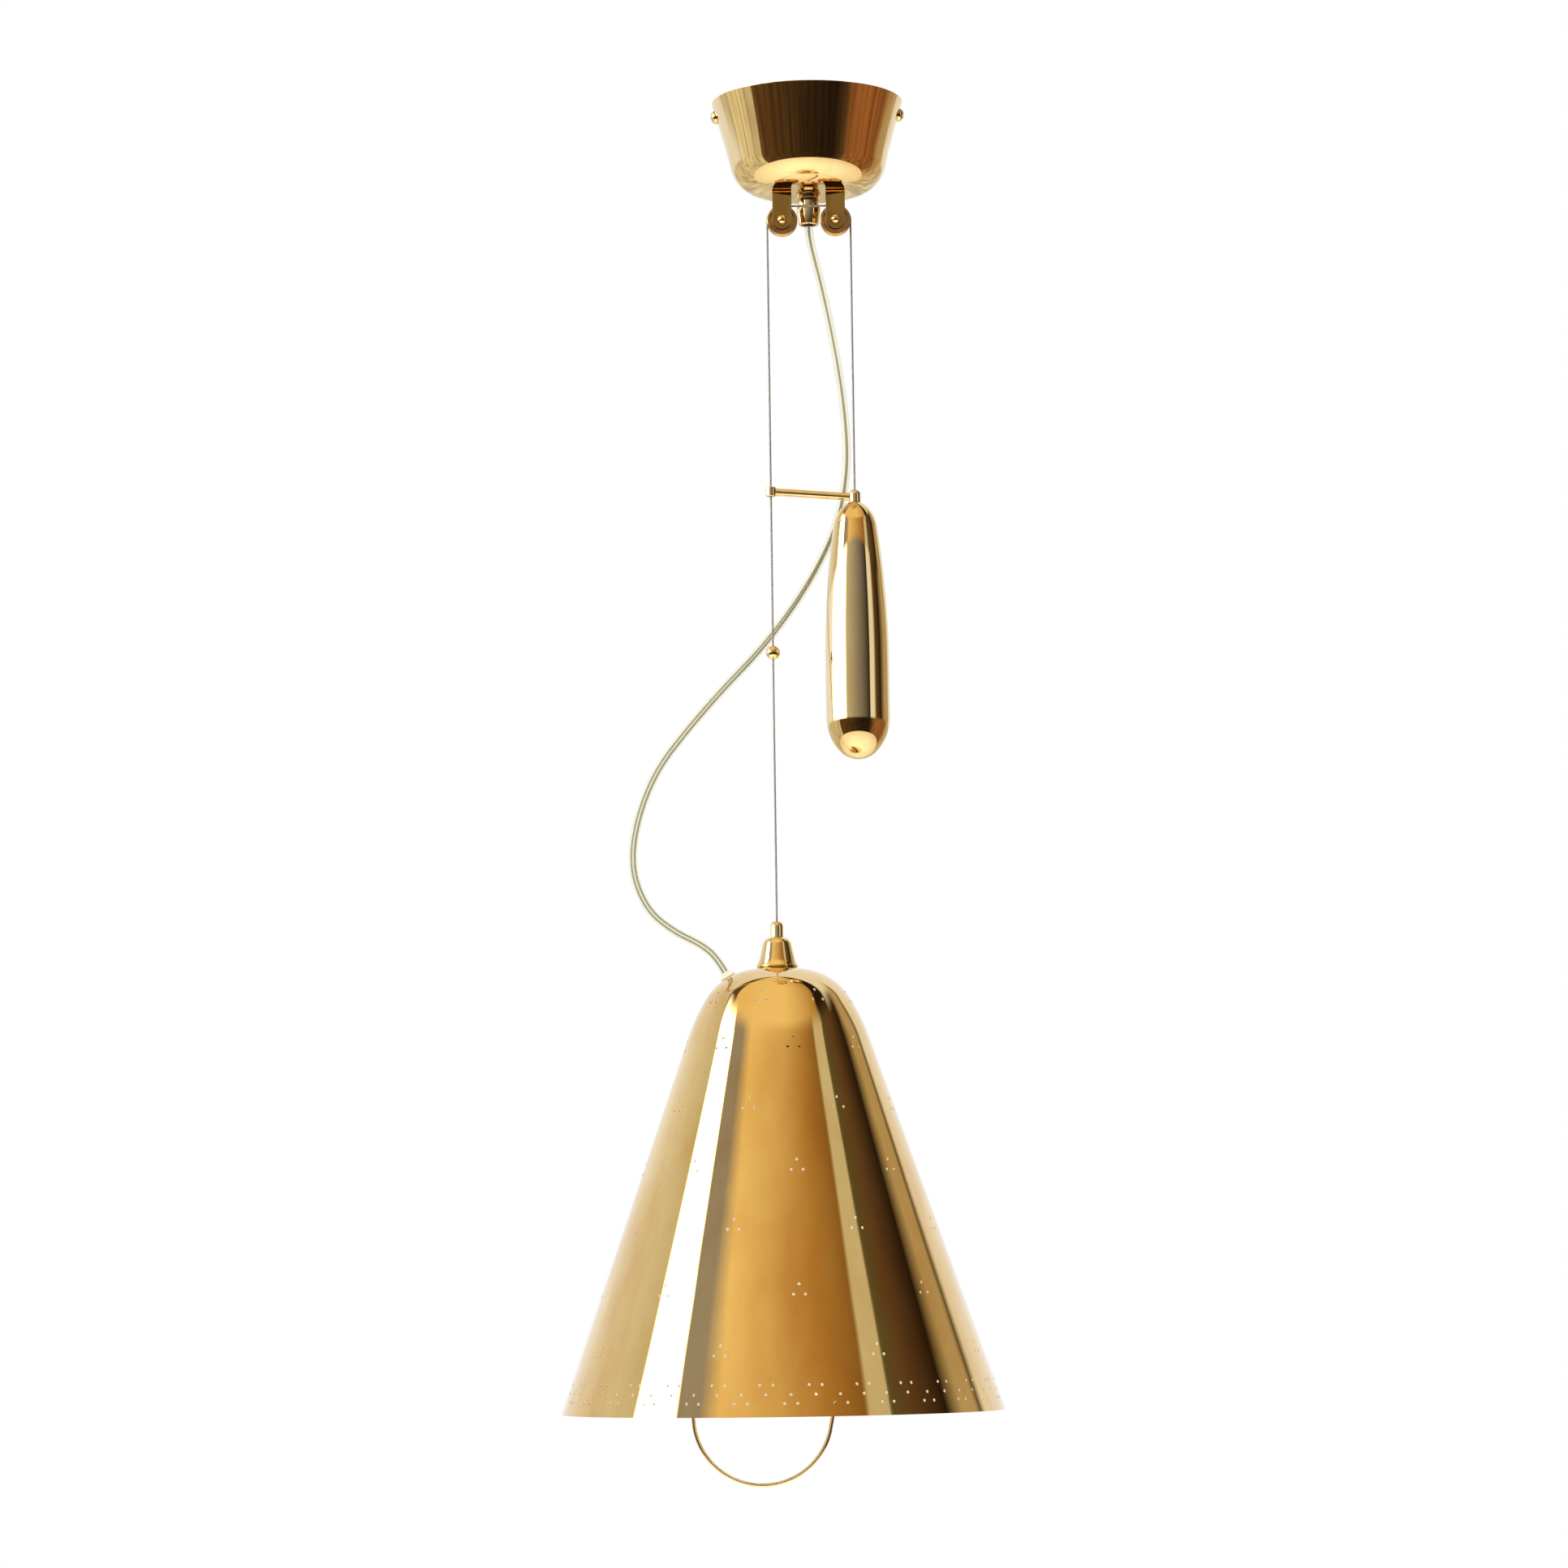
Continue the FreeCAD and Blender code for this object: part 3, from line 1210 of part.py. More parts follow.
faults = [thing.Label for thing in doc.Objects
          if "Invalid" in thing.State or "Error" in thing.State]
for thing in PIECES:
    if thing.Shape.isNull() or not thing.Shape.isValid():
        faults.append(thing.Label + " (shape)")
if faults:
    raise RuntimeError("failed: " + ", ".join(faults))

os.makedirs("parts", exist_ok=True)
for thing in PIECES:
    thing.Shape.exportStep(f"parts/{thing.Label}.step")
print(f"{len(PIECES)} pieces written")
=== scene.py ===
import json
import math

import bmesh
import bpy
from mathutils import Matrix, Vector

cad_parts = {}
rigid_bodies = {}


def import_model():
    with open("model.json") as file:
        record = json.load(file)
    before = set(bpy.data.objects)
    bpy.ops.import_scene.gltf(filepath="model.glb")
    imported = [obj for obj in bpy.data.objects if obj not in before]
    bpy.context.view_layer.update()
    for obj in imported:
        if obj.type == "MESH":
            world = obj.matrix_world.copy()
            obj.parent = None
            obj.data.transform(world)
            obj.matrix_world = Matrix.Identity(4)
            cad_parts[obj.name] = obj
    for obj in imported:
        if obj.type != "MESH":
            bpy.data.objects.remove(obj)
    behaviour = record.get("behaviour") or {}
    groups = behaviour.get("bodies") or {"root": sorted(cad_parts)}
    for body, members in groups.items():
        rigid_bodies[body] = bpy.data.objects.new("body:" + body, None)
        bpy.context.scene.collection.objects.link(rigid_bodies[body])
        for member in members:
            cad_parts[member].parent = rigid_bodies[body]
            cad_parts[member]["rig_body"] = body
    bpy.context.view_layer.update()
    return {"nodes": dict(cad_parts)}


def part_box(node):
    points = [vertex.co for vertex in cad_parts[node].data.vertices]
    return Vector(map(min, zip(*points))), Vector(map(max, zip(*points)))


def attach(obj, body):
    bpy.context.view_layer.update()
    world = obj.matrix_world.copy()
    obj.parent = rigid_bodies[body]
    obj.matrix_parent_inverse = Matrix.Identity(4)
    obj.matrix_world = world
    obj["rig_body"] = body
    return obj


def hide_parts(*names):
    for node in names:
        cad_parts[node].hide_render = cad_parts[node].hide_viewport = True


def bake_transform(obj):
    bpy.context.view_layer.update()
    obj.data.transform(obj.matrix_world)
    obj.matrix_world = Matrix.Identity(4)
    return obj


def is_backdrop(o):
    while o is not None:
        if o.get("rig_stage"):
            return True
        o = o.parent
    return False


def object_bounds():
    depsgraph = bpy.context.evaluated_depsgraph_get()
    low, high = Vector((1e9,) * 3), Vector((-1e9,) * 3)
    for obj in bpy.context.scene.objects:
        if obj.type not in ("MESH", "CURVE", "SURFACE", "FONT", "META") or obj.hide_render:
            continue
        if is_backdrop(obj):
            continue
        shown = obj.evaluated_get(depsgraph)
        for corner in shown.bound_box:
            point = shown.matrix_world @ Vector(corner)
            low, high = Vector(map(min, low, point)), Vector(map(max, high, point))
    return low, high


# Rise and fall pendant, in the order that it is put together: the ceiling fitting, the pulleys,
# the ropes and the flex, the lamp, and the counterweight that balances it.

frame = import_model()


# ---- ceiling bracket and canopy ----
# The canopy is a bowl of 1 mm brass, spun over a wooden chuck and polished to a mirror. Two slotted
# dome-head screws hold it to the ears of a slotted strap of zinc-plated steel on the ceiling.

MM = 0.001
canopy_wall = 1.0
canopy_depth = -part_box("canopy")[0].z / MM
canopy_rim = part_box("canopy")[1].x / MM
gland_bore = 5.1


def paint(hex_code, level=1.0):
    """Linear colour of an sRGB hex value, made brighter by level."""
    shares = [int(hex_code[i:i + 2], 16) / 255 for i in (1, 3, 5)]
    return [level * (s / 12.92 if s <= 0.04045 else ((s + 0.055) / 1.055) ** 2.4)
            for s in shares] + [1.0]


def add(tree, kind, wires=None, **settings):
    """Adds a node with its settings; wires feeds its sockets with values or other sockets."""
    node = tree.nodes.new(kind)
    for name, value in settings.items():
        setattr(node, name, value)
    for name, value in (wires or {}).items():
        named = [s for s in node.inputs if s.identifier == name]
        socket = named[0] if named else node.inputs[name]
        if isinstance(value, bpy.types.NodeSocket):
            tree.links.new(value, socket)
        else:
            socket.default_value = value
    return node


def output(node, identifier):
    """Output of a node that has several of one name."""
    return [s for s in node.outputs if s.identifier == identifier][0]


def finish_of(name, colour, metallic, roughness, more=None):
    """New material with a plain coat; more sets other inputs of its shader."""
    finish = bpy.data.materials.new(name)
    finish.use_nodes = True
    shader = finish.node_tree.nodes["Principled BSDF"]
    coat = {"Base Color": paint(colour), "Metallic": metallic, "Roughness": roughness}
    for socket, value in {**coat, **(more or {})}.items():
        shader.inputs[socket].default_value = value
    return finish


def coat_of(finish):
    """Tree of a finish, its shader, and the place on the piece."""
    tree = finish.node_tree
    place = add(tree, "ShaderNodeTexCoord").outputs["Object"]
    return tree, tree.nodes["Principled BSDF"], place


def mopped_brass(name, clean, dull, gloss, cloud, wave, wave_height, run):
    """Brass brought to a mirror on a cloth mop. Slow waves from the spinning tool, drawn out run
    times along the axis, make reflections wander, and thin tarnish warms it in soft clouds."""
    finish = finish_of(name, clean, 1.0, gloss)
    tree, shader, place = coat_of(finish)
    drawn = add(tree, "ShaderNodeMapping", {"Vector": place, "Scale": (1, 1, 1 / run)}).outputs[0]
    clouds = add(tree, "ShaderNodeTexNoise", {
        "Vector": drawn, "Scale": 1000 / cloud, "Detail": 5.0, "Roughness": 0.6}).outputs["Fac"]
    amount = add(tree, "ShaderNodeMapRange", {
        "Value": clouds, "From Min": 0.42, "From Max": 0.72}).outputs["Result"]
    tone = add(tree, "ShaderNodeMix", {
        "Factor_Float": amount, "A_Color": paint(clean), "B_Color": paint(dull)},
        data_type="RGBA")
    tree.links.new(output(tone, "Result_Color"), shader.inputs["Base Color"])
    haze = add(tree, "ShaderNodeMapRange", {
        "Value": clouds, "From Min": 0.3, "From Max": 0.75,
        "To Min": gloss * 0.7, "To Max": gloss * 1.6}).outputs["Result"]
    tree.links.new(haze, shader.inputs["Roughness"])
    waves = add(tree, "ShaderNodeTexNoise", {
        "Vector": drawn, "Scale": 1000 / wave, "Detail": 1.0}).outputs["Fac"]
    relief = add(tree, "ShaderNodeBump", {
        "Height": waves, "Distance": wave_height * MM, "Strength": 1.0}).outputs["Normal"]
    tree.links.new(relief, shader.inputs["Normal"])
    return finish


def arc_points(start, end, radius, step=2.5):
    """Points after start along the lesser arc to end, which turns left for a positive radius."""
    chord = end - start
    reach = math.sqrt(max(radius ** 2 - chord.length_squared / 4, 0.0))
    side = Vector((-chord.y, chord.x)).normalized()
    centre = (start + end) / 2 + side * math.copysign(reach, radius)
    turn = 2 * math.asin(min(1.0, chord.length / 2 / abs(radius)))
    count = max(3, math.ceil(math.degrees(turn) / step), math.ceil(chord.length / 8))
    spoke = start - centre
    return [centre + Matrix.Rotation(math.copysign(turn * k / count, radius), 2) @ spoke
            for k in range(1, count)] + [end]


def traced(corners, run=None):
    """Half profile through (radius, height) or (radius, height, radius of the arc to there), in
    millimetres; run splits its long straights."""
    line = [Vector(corners[0][:2])]
    for corner in corners[1:]:
        start, end = line[-1].copy(), Vector(corner[:2])
        if len(corner) == 3:
            line += arc_points(start, end, corner[2])
            continue
        count = math.ceil((end - start).length / run) if run else 1
        line += [start.lerp(end, k / count) for k in range(1, count + 1)]
    return line


def with_inner_face(line, wall):
    """Closes an outer meridian with the inner face of its sheet, on its left, or its right if
    the wall is negative."""
    ways = [(b - a).normalized() for a, b in zip(line, line[1:])]
    inner = []
    for k, point in enumerate(line):
        way = (ways[max(k - 1, 0)] + ways[min(k, len(ways) - 1)]).normalized()
        inwards = Vector((-way.y, way.x))
        if k == 0:
            inner.append(point + Vector((0, wall / inwards.y)))
        elif k == len(ways):
            inner.append(point + Vector((wall / inwards.x, 0)))
        else:
            inner.append(point + inwards * wall)
    return line + inner[::-1]


def eased(loop, ease):
    """Rounds the hard corners of a closed half profile as polishing does, axis corners apart."""
    rounded = []
    for before, corner, after in zip(loop[-1:] + loop[:-1], loop, loop[1:] + loop[:1]):
        back, ahead = before - corner, after - corner
        turn = math.pi - back.angle(ahead, math.pi)
        if turn < math.radians(25) or corner.x < 1e-6:
            rounded.append(corner)
            continue
        reach = min(ease, 0.3 * back.length, 0.3 * ahead.length)
        start, end = corner + back.normalized() * reach, corner + ahead.normalized() * reach
        rounded.append(corner + back.normalized() * reach * 1.5)
        for k in range(5):
            share = k / 4
            rounded.append(start.lerp(corner, share).lerp(corner.lerp(end, share), share))
        rounded.append(corner + ahead.normalized() * reach * 1.5)
    return rounded


def turned(name, loop, centre, finishes, around=128, toward=(0, 0, 1), inside_from=None):
    """Closed piece turned from a half profile in millimetres, about a centre in metres and an axis
    toward a direction. Faces from point inside_from on take the second finish."""
    shape = bmesh.new()
    rings = []
    for point in loop:
        spokes = 1 if point.x < 1e-6 else around
        rings.append([shape.verts.new((point.x * math.cos(2 * math.pi * k / around),
                                       point.x * math.sin(2 * math.pi * k / around), point.y))
                      for k in range(spokes)])
    for place, (low, high) in enumerate(zip(rings, rings[1:] + rings[:1])):
        if len(low) == 1 and len(high) == 1:
            continue
        for k in range(around):
            corners = [low[k % len(low)], low[(k + 1) % len(low)],
                       high[(k + 1) % len(high)], high[k % len(high)]]
            face = shape.faces.new(dict.fromkeys(corners))
            face.material_index = int(inside_from is not None and place >= inside_from)
    bmesh.ops.recalc_face_normals(shape, faces=shape.faces)
    tilt = Vector((0, 0, 1)).rotation_difference(Vector(toward)).to_matrix().to_4x4()
    bmesh.ops.transform(shape, matrix=Matrix.Translation(centre) @ tilt @ Matrix.Scale(MM, 4),
                        verts=shape.verts)
    return smooth_piece(name, shape, finishes)


def placed(name, data):
    """New object in the scene."""
    thing = bpy.data.objects.new(name, data)
    bpy.context.scene.collection.objects.link(thing)
    return thing


def smooth_piece(name, shape, finishes, crease=28.0):
    """Piece from a finished bmesh, smooth but for edges sharper than the crease."""
    mesh = bpy.data.meshes.new(name)
    shape.to_mesh(mesh)
    shape.free()
    for finish in finishes:
        mesh.materials.append(finish)
    mesh.shade_smooth()
    mesh.set_sharp_from_angle(angle=math.radians(crease))
    return placed(name, mesh)


def stands_for(piece, *nodes):
    """Fixes a piece to the body of the CAD nodes that it shows."""
    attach(piece, frame["nodes"][nodes[0]]["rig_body"])
    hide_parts(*nodes)
    return piece


def dressed(name, node, finish, bevel=0.0, crease=28.0):
    """Smooth copy of a CAD node with its seams closed and, with a bevel in mm, its edges broken."""
    shape = bmesh.new()
    for vertex in frame["nodes"][node].data.vertices:
        shape.verts.new(vertex.co)
    shape.verts.ensure_lookup_table()
    for face in frame["nodes"][node].data.polygons:
        shape.faces.new([shape.verts[k] for k in face.vertices])
    bmesh.ops.remove_doubles(shape, verts=shape.verts, dist=2e-6)
    bmesh.ops.dissolve_degenerate(shape, edges=shape.edges, dist=1e-6)
    if bevel:
        bmesh.ops.dissolve_limit(shape, angle_limit=math.radians(1), verts=shape.verts,
                                 edges=shape.edges)
    piece = smooth_piece(name, shape, [finish], crease)
    if bevel:
        edge = piece.modifiers.new("broken_edges", "BEVEL")
        edge.width = bevel * MM
        edge.segments = 2
        edge.limit_method = "ANGLE"
        edge.angle_limit = math.radians(35)
        edge.harden_normals = True
    return stands_for(piece, node)


canopy_brass = mopped_brass("brass, spun and mopped, canopy", "#E8C990", "#DCB67A", 0.02,
                            cloud=28, wave=24, wave_height=0.07, run=2.5)
canopy_line = traced([
    (gland_bore, -canopy_depth),
    (30.0, -canopy_depth),
    (41.6, 1.42 - canopy_depth, 48.0),
    (61.0, 21.3 - canopy_depth, 26.4),
    (canopy_rim, 0.0, -576.0),
], run=8)
canopy_bowl = turned("canopy_bowl", eased(with_inner_face(canopy_line, canopy_wall), 0.3),
                     (0, 0, 0), [canopy_brass], around=160)
stands_for(canopy_bowl, "canopy")

# Turned brass: bar stock off the lathe, buffed bright, a touch redder than the spun sheet.
turned_brass = mopped_brass("brass, turned and buffed", "#EBD09C", "#E0BC80", 0.03,
                            cloud=9, wave=6, wave_height=0.0015, run=1)
dressed("canopy_side_screws", "canopy_screws", turned_brass)

# Zinc plate: bright but grainy, a cool bluish grey with a faint spangle.
zinc_plate = finish_of("steel, zinc plated", "#A9ADB0", 1.0, 0.3)
zinc_tree, zinc_coat, zinc_place = coat_of(zinc_plate)
spangle = add(zinc_tree, "ShaderNodeTexVoronoi", {"Vector": zinc_place, "Scale": 1000 / 1.5})
zinc_tree.links.new(add(zinc_tree, "ShaderNodeMapRange", {
    "Value": spangle.outputs["Distance"], "To Min": 0.24, "To Max": 0.42}).outputs["Result"],
    zinc_coat.inputs["Roughness"])
dressed("ceiling_strap", "ceiling_bracket", zinc_plate, bevel=0.25)


# ---- terminal block ----
# A two-way block, moulded in white nylon over two brass sleeves, hangs under the bracket on one
# steel screw. Four clamp screws grip the house wires on one side and the cores on the other.


def grained(finish, size, depth, strength):
    """Gives a finish a fine relief, of a size and depth in millimetres."""
    tree, shader, place = coat_of(finish)
    bumps = add(tree, "ShaderNodeTexNoise", {"Vector": place, "Scale": 1000 / size})
    relief = add(tree, "ShaderNodeBump", {
        "Height": bumps.outputs["Fac"], "Distance": depth * MM, "Strength": strength})
    tree.links.new(relief.outputs["Normal"], shader.inputs["Normal"])


# Nylon: white and satin, with the faint skin of its mould.
nylon = finish_of("nylon, moulded", "#E4E2DA", 0.0, 0.45)
grained(nylon, size=0.6, depth=0.01, strength=0.6)
dressed("terminal_block_moulding", "terminal_block", nylon, bevel=0.3)

# Plain brass: left as it came off the machine, so it is duller and a little brown.
plain_brass = mopped_brass("brass, machined, unpolished", "#C9A263", "#A87F45", 0.28,
                           cloud=8, wave=3, wave_height=0.002, run=1)
dressed("terminal_clamp_sleeves", "terminal_sleeves", plain_brass)
dressed("terminal_clamp_screws", "terminal_screws", zinc_plate)
dressed("terminal_block_screw", "block_screw", zinc_plate)


# ---- cord gland ----
# Turned brass in two parts: a collared body whose stem goes up through the canopy to a nut, and a
# tapered cap that screws on below it and squeezes a soft clear bush round the flex.

gland_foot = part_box("gland_cap")[0].z / MM
gland_collar = [
    (3.5, -17.2), (6.6, -17.2), (6.6, -10.2), (8.3, -10.2), (8.3, -3.8), (8.7, -3.8),
    (9.7, -1.0), (9.7, 0.0), (5.0, 0.0), (5.0, 11.0), (3.5, 11.0),
]
stands_for(turned("gland_collar_and_stem", eased(traced(gland_collar), 0.35),
                  (0, 0, -canopy_depth * MM), [turned_brass], around=96), "gland_body")
gland_taper = [
    (6.6, 14.6), (8.3, 14.6), (9.7, 12.0, -2.7), (8.1, 0.9), (7.2, 0.0, -1.0), (5.9, 0.0),
    (5.9, 2.0), (6.6, 4.6),
]
stands_for(turned("gland_squeeze_cap", eased(traced(gland_taper), 0.3),
                  (0, 0, gland_foot * MM), [turned_brass], around=96), "gland_cap")
dressed("gland_back_nut", "gland_nut", plain_brass, bevel=0.25)

# Soft clear vinyl: glossy and waxy, and milky where it is thick.
soft_vinyl = finish_of("vinyl, soft, moulded clear", "#E9DDB9", 0.0, 0.25,
                       {"Transmission Weight": 0.6, "IOR": 1.53})
dressed("gland_grip_bush", "gland_bush", soft_vinyl)


# ---- clevises, pulleys and axles ----
# Each clevis is a strap of 1.6 mm brass, bent to a U and screwed up under the canopy. Its wheel is
# turned brass with a round groove, on a sintered bronze bush and a riveted dome-head axle.

strip_brass = mopped_brass("brass strip, bent and mopped", "#CC9A48", "#AC7A34", 0.03,
                           cloud=14, wave=9, wave_height=0.003, run=1.5)
for side in ("left", "right"):
    dressed(f"pulley_clevis_{side}", f"clevis_{side}", strip_brass, bevel=0.2)
    dressed(f"pulley_axle_{side}", f"axle_{side}", turned_brass)
dressed("clevis_pan_screws", "clevis_screws", zinc_plate)
dressed("clevis_back_nuts", "clevis_nuts", plain_brass, bevel=0.2)

# Wheel brass: faced on the lathe and lightly buffed, so it stays darker than the rest.
wheel_brass = mopped_brass("brass, faced and buffed", "#CC9C5C", "#B08046", 0.06,
                           cloud=9, wave=6, wave_height=0.0015, run=1)
wheel_radius = 12.0
wheel_half = [
    (3.2, 4.0), (5.4, 4.0), (5.8, 3.4), (9.2, 3.4), (9.6, 4.0), (11.4, 4.0),
    (wheel_radius, 3.4), (wheel_radius, 1.9), (11.3, 1.15),
]
wheel_loop = wheel_half + [(11.3, -1.15, 1.3)] + [(r, -w) for r, w in wheel_half[-2::-1]]
for side in ("left", "right"):
    low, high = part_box(f"pulley_wheel_{side}")
    wheel = turned(f"pulley_{side}_grooved_wheel", eased(traced(wheel_loop), 0.2),
                   (low + high) / 2, [wheel_brass], around=96, toward=(0, -1, 0))
    stands_for(wheel, f"pulley_wheel_{side}")

# Sintered bronze: dull, brown and slightly oily, with fine pores.
bush_bronze = finish_of("bronze, sintered", "#8A6038", 1.0, 0.5)
grained(bush_bronze, size=0.3, depth=0.03, strength=0.7)
for side in ("left", "right"):
    dressed(f"pulley_{side}_bush", f"pulley_bush_{side}", bush_bronze)


# ---- suspension rope and stop ball ----
# 1.6 mm stainless rope, six strands laid round a seventh. It runs from the lamp up over both
# pulleys and down to the counterweight. A brass ball clamped on the lamp's fall is the top stop.

# The rope in mm, with the radius at which it goes round a wheel, the height in metres of the
# wheels' centres, and the steps in which a fall is drawn.
rope_radius = 0.8
rope_strand = 0.27
rope_lay = 9.0
rope_wrap = 11.7
fall_steps = 40
fall_z = (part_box("pulley_wheel_left")[0].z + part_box("pulley_wheel_left")[1].z) / 2

# Stainless wire: bright grey, dark in the valleys between the strands.
rope_steel = finish_of("stainless wire, laid", "#BDBBB7", 1.0, 0.32)


def clouded(finish, size, low, high):
    """Lets the roughness of a finish wander between two values, in patches of a size in mm."""
    tree, shader, place = coat_of(finish)
    patches = add(tree, "ShaderNodeTexNoise", {"Vector": place, "Scale": 1000 / size})
    share = add(tree, "ShaderNodeMapRange", {
        "Value": patches.outputs["Fac"], "To Min": low, "To Max": high})
    tree.links.new(share.outputs["Result"], shader.inputs["Roughness"])


clouded(rope_steel, size=3.0, low=0.22, high=0.5)


def laying_tree():
    """Sweeps strands round a centreline, twisted by tilting it as it goes."""
    tree = bpy.data.node_groups.new("laid_strands", "GeometryNodeTree")
    for name, kind, way in (("Centreline", "NodeSocketGeometry", "INPUT"),
                            ("Strands", "NodeSocketInt", "INPUT"),
                            ("Strand Radius", "NodeSocketFloat", "INPUT"),
                            ("Laid Radius", "NodeSocketFloat", "INPUT"),
                            ("Lay Length", "NodeSocketFloat", "INPUT"),
                            ("Steps", "NodeSocketFloat", "INPUT"),
                            ("Heart Radius", "NodeSocketFloat", "INPUT"),
                            ("Finish", "NodeSocketMaterial", "INPUT"),
                            ("Rope", "NodeSocketGeometry", "OUTPUT")):
        tree.interface.new_socket(name=name, in_out=way, socket_type=kind)
    given = add(tree, "NodeGroupInput").outputs
    curve = add(tree, "GeometryNodeMeshToCurve", {"Mesh": given["Centreline"]}).outputs["Curve"]
    step = add(tree, "ShaderNodeMath", {0: given["Lay Length"], 1: given["Steps"]},
               operation="DIVIDE").outputs[0]
    even = add(tree, "GeometryNodeResampleCurve", {"Curve": curve, "Length": step}, mode="LENGTH")
    along = add(tree, "GeometryNodeSplineParameter").outputs["Length"]
    turns = add(tree, "ShaderNodeMath", {0: along, 1: given["Lay Length"]},
                operation="DIVIDE").outputs[0]
    angle = add(tree, "ShaderNodeMath", {0: turns, 1: 2 * math.pi}, operation="MULTIPLY")
    twisted = add(tree, "GeometryNodeSetCurveTilt", {
        "Curve": even.outputs["Curve"], "Tilt": angle.outputs[0]}).outputs["Curve"]
    share = add(tree, "ShaderNodeMath", {
        0: add(tree, "GeometryNodeInputIndex").outputs[0], 1: given["Strands"]},
        operation="DIVIDE").outputs[0]
    clock = add(tree, "ShaderNodeMath", {0: share, 1: 2 * math.pi}, operation="MULTIPLY")
    spoke = add(tree, "ShaderNodeCombineXYZ", {"X": given["Laid Radius"]}).outputs[0]
    spot = add(tree, "ShaderNodeVectorRotate", {"Vector": spoke, "Angle": clock.outputs[0]},
               rotation_type="Z_AXIS").outputs[0]
    spots = add(tree, "GeometryNodePoints", {
        "Count": given["Strands"], "Position": spot}).outputs["Points"]
    strand = add(tree, "GeometryNodeCurvePrimitiveCircle", {
        "Resolution": 7, "Radius": given["Strand Radius"]}).outputs["Curve"]
    ring = add(tree, "GeometryNodeInstanceOnPoints", {
        "Points": spots, "Instance": strand}).outputs["Instances"]
    heart = add(tree, "GeometryNodeCurvePrimitiveCircle", {
        "Resolution": 7, "Radius": given["Heart Radius"]}).outputs["Curve"]
    section = add(tree, "GeometryNodeJoinGeometry")
    tree.links.new(ring, section.inputs[0])
    tree.links.new(heart, section.inputs[0])
    whole = add(tree, "GeometryNodeRealizeInstances", {"Geometry": section.outputs[0]}).outputs[0]
    swept = add(tree, "GeometryNodeCurveToMesh", {
        "Curve": twisted, "Profile Curve": whole, "Fill Caps": True}).outputs["Mesh"]
    soft = add(tree, "GeometryNodeSetShadeSmooth", {"Geometry": swept}).outputs["Geometry"]
    single = add(tree, "GeometryNodeRealizeInstances", {"Geometry": soft}).outputs[0]
    coated = add(tree, "GeometryNodeSetMaterial", {
        "Geometry": single, "Material": given["Finish"]}).outputs["Geometry"]
    add(tree, "NodeGroupOutput", {"Rope": coated})
    return tree


def run_tree(name, start, tree, **sizes):
    """Plain mesh that a tree makes from a starting mesh, with the tree's inputs set by name."""
    maker = placed(name, start)
    step = maker.modifiers.new(tree.name, "NODES")
    step.node_group = tree
    sockets = {item.name: item.identifier for item in tree.interface.items_tree
               if item.in_out == "INPUT"}
    for size, value in sizes.items():
        step[sockets[size.replace("_", " ")]] = value
    made = bpy.data.meshes.new_from_object(
        maker.evaluated_get(bpy.context.evaluated_depsgraph_get()))
    maker.modifiers.clear()
    maker.data = made
    made.name = name
    return maker


def line_mesh(name, points):
    """Open line through points in metres."""
    mesh = bpy.data.meshes.new(name)
    mesh.from_pydata(points, [(k, k + 1) for k in range(len(points) - 1)], [])
    return mesh


laid_strands = laying_tree()
rope_sizes = {
    "Strands": 6, "Strand_Radius": rope_strand * MM, "Heart_Radius": rope_strand * MM,
    "Laid_Radius": (rope_radius - rope_strand) * MM, "Lay_Length": rope_lay * MM,
    "Steps": 14.0, "Finish": rope_steel,
}
rope_feet = {}
for side, far_body in (("left", "lamp"), ("right", "counterweight")):
    low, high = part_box(f"rope_{side}")
    middle = (low + high) / 2
    rope_feet[side] = Vector((middle.x, middle.y, low.z))
    fall = [(middle.x, middle.y, high.z + (low.z - high.z) * k / fall_steps)
            for k in range(fall_steps + 1)]
    rope = run_tree(f"rope_fall_{side}", line_mesh("fall", fall), laid_strands, **rope_sizes)
    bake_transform(rope)
    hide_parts(f"rope_{side}")

wheel_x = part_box("pulley_wheel_right")[0].x / MM + wheel_radius
rope_y = rope_feet["left"].y / MM
wrap = [(-wheel_x - rope_wrap * math.cos(math.radians(a)), rope_wrap * math.sin(math.radians(a)))
        for a in range(0, 91, 6)]
over = [(x * MM, rope_y * MM, z * MM + fall_z)
        for x, z in wrap + [(-x, z) for x, z in reversed(wrap)]]
bridge = run_tree("rope_over_pulleys", line_mesh("over", over), laid_strands, **rope_sizes)
stands_for(bridge, "rope_bridge")

dressed("rope_stop_ball", "stop_ball", turned_brass, crease=40)
dressed("rope_stop_grub_screw", "stop_screw", zinc_plate)


# ---- flex ----
# Clear vinyl flex, 6.6 mm across, over two cores of tinned copper with a very slow twist. From the
# gland it hangs free in a long S round the ropes and goes through a bush into the shade's shoulder.

flex_radius = 3.3
flex_route = [
    (0.0, 0.0, -97.2),
    (0.0, 0.0, -105.2),
    (3.2, 0.6, -120.5),
    (9.8, 2.6, -147.0),
    (18.6, 8.0, -191.0),
    (26.0, 14.0, -240.0),
    (28.2, 18.0, -286.0),
    (20.6, 20.0, -328.0),
    (5.5, 19.0, -362.0),
    (-14.4, 16.0, -395.0),
    (-41.7, 11.0, -431.0),
    (-71.5, 5.5, -462.0),
    (-99.0, 1.0, -493.5),
    (-125.0, -2.5, -527.0),
    (-140.2, -5.5, -566.0),
    (-144.9, -7.5, -603.0),
    (-133.2, -9.0, -635.0),
    (-112.5, -10.3, -652.5),
    (-90.6, -11.0, -663.2),
    (-78.85, -11.0, -673.63),
    (-71.76, -11.0, -686.45),
]


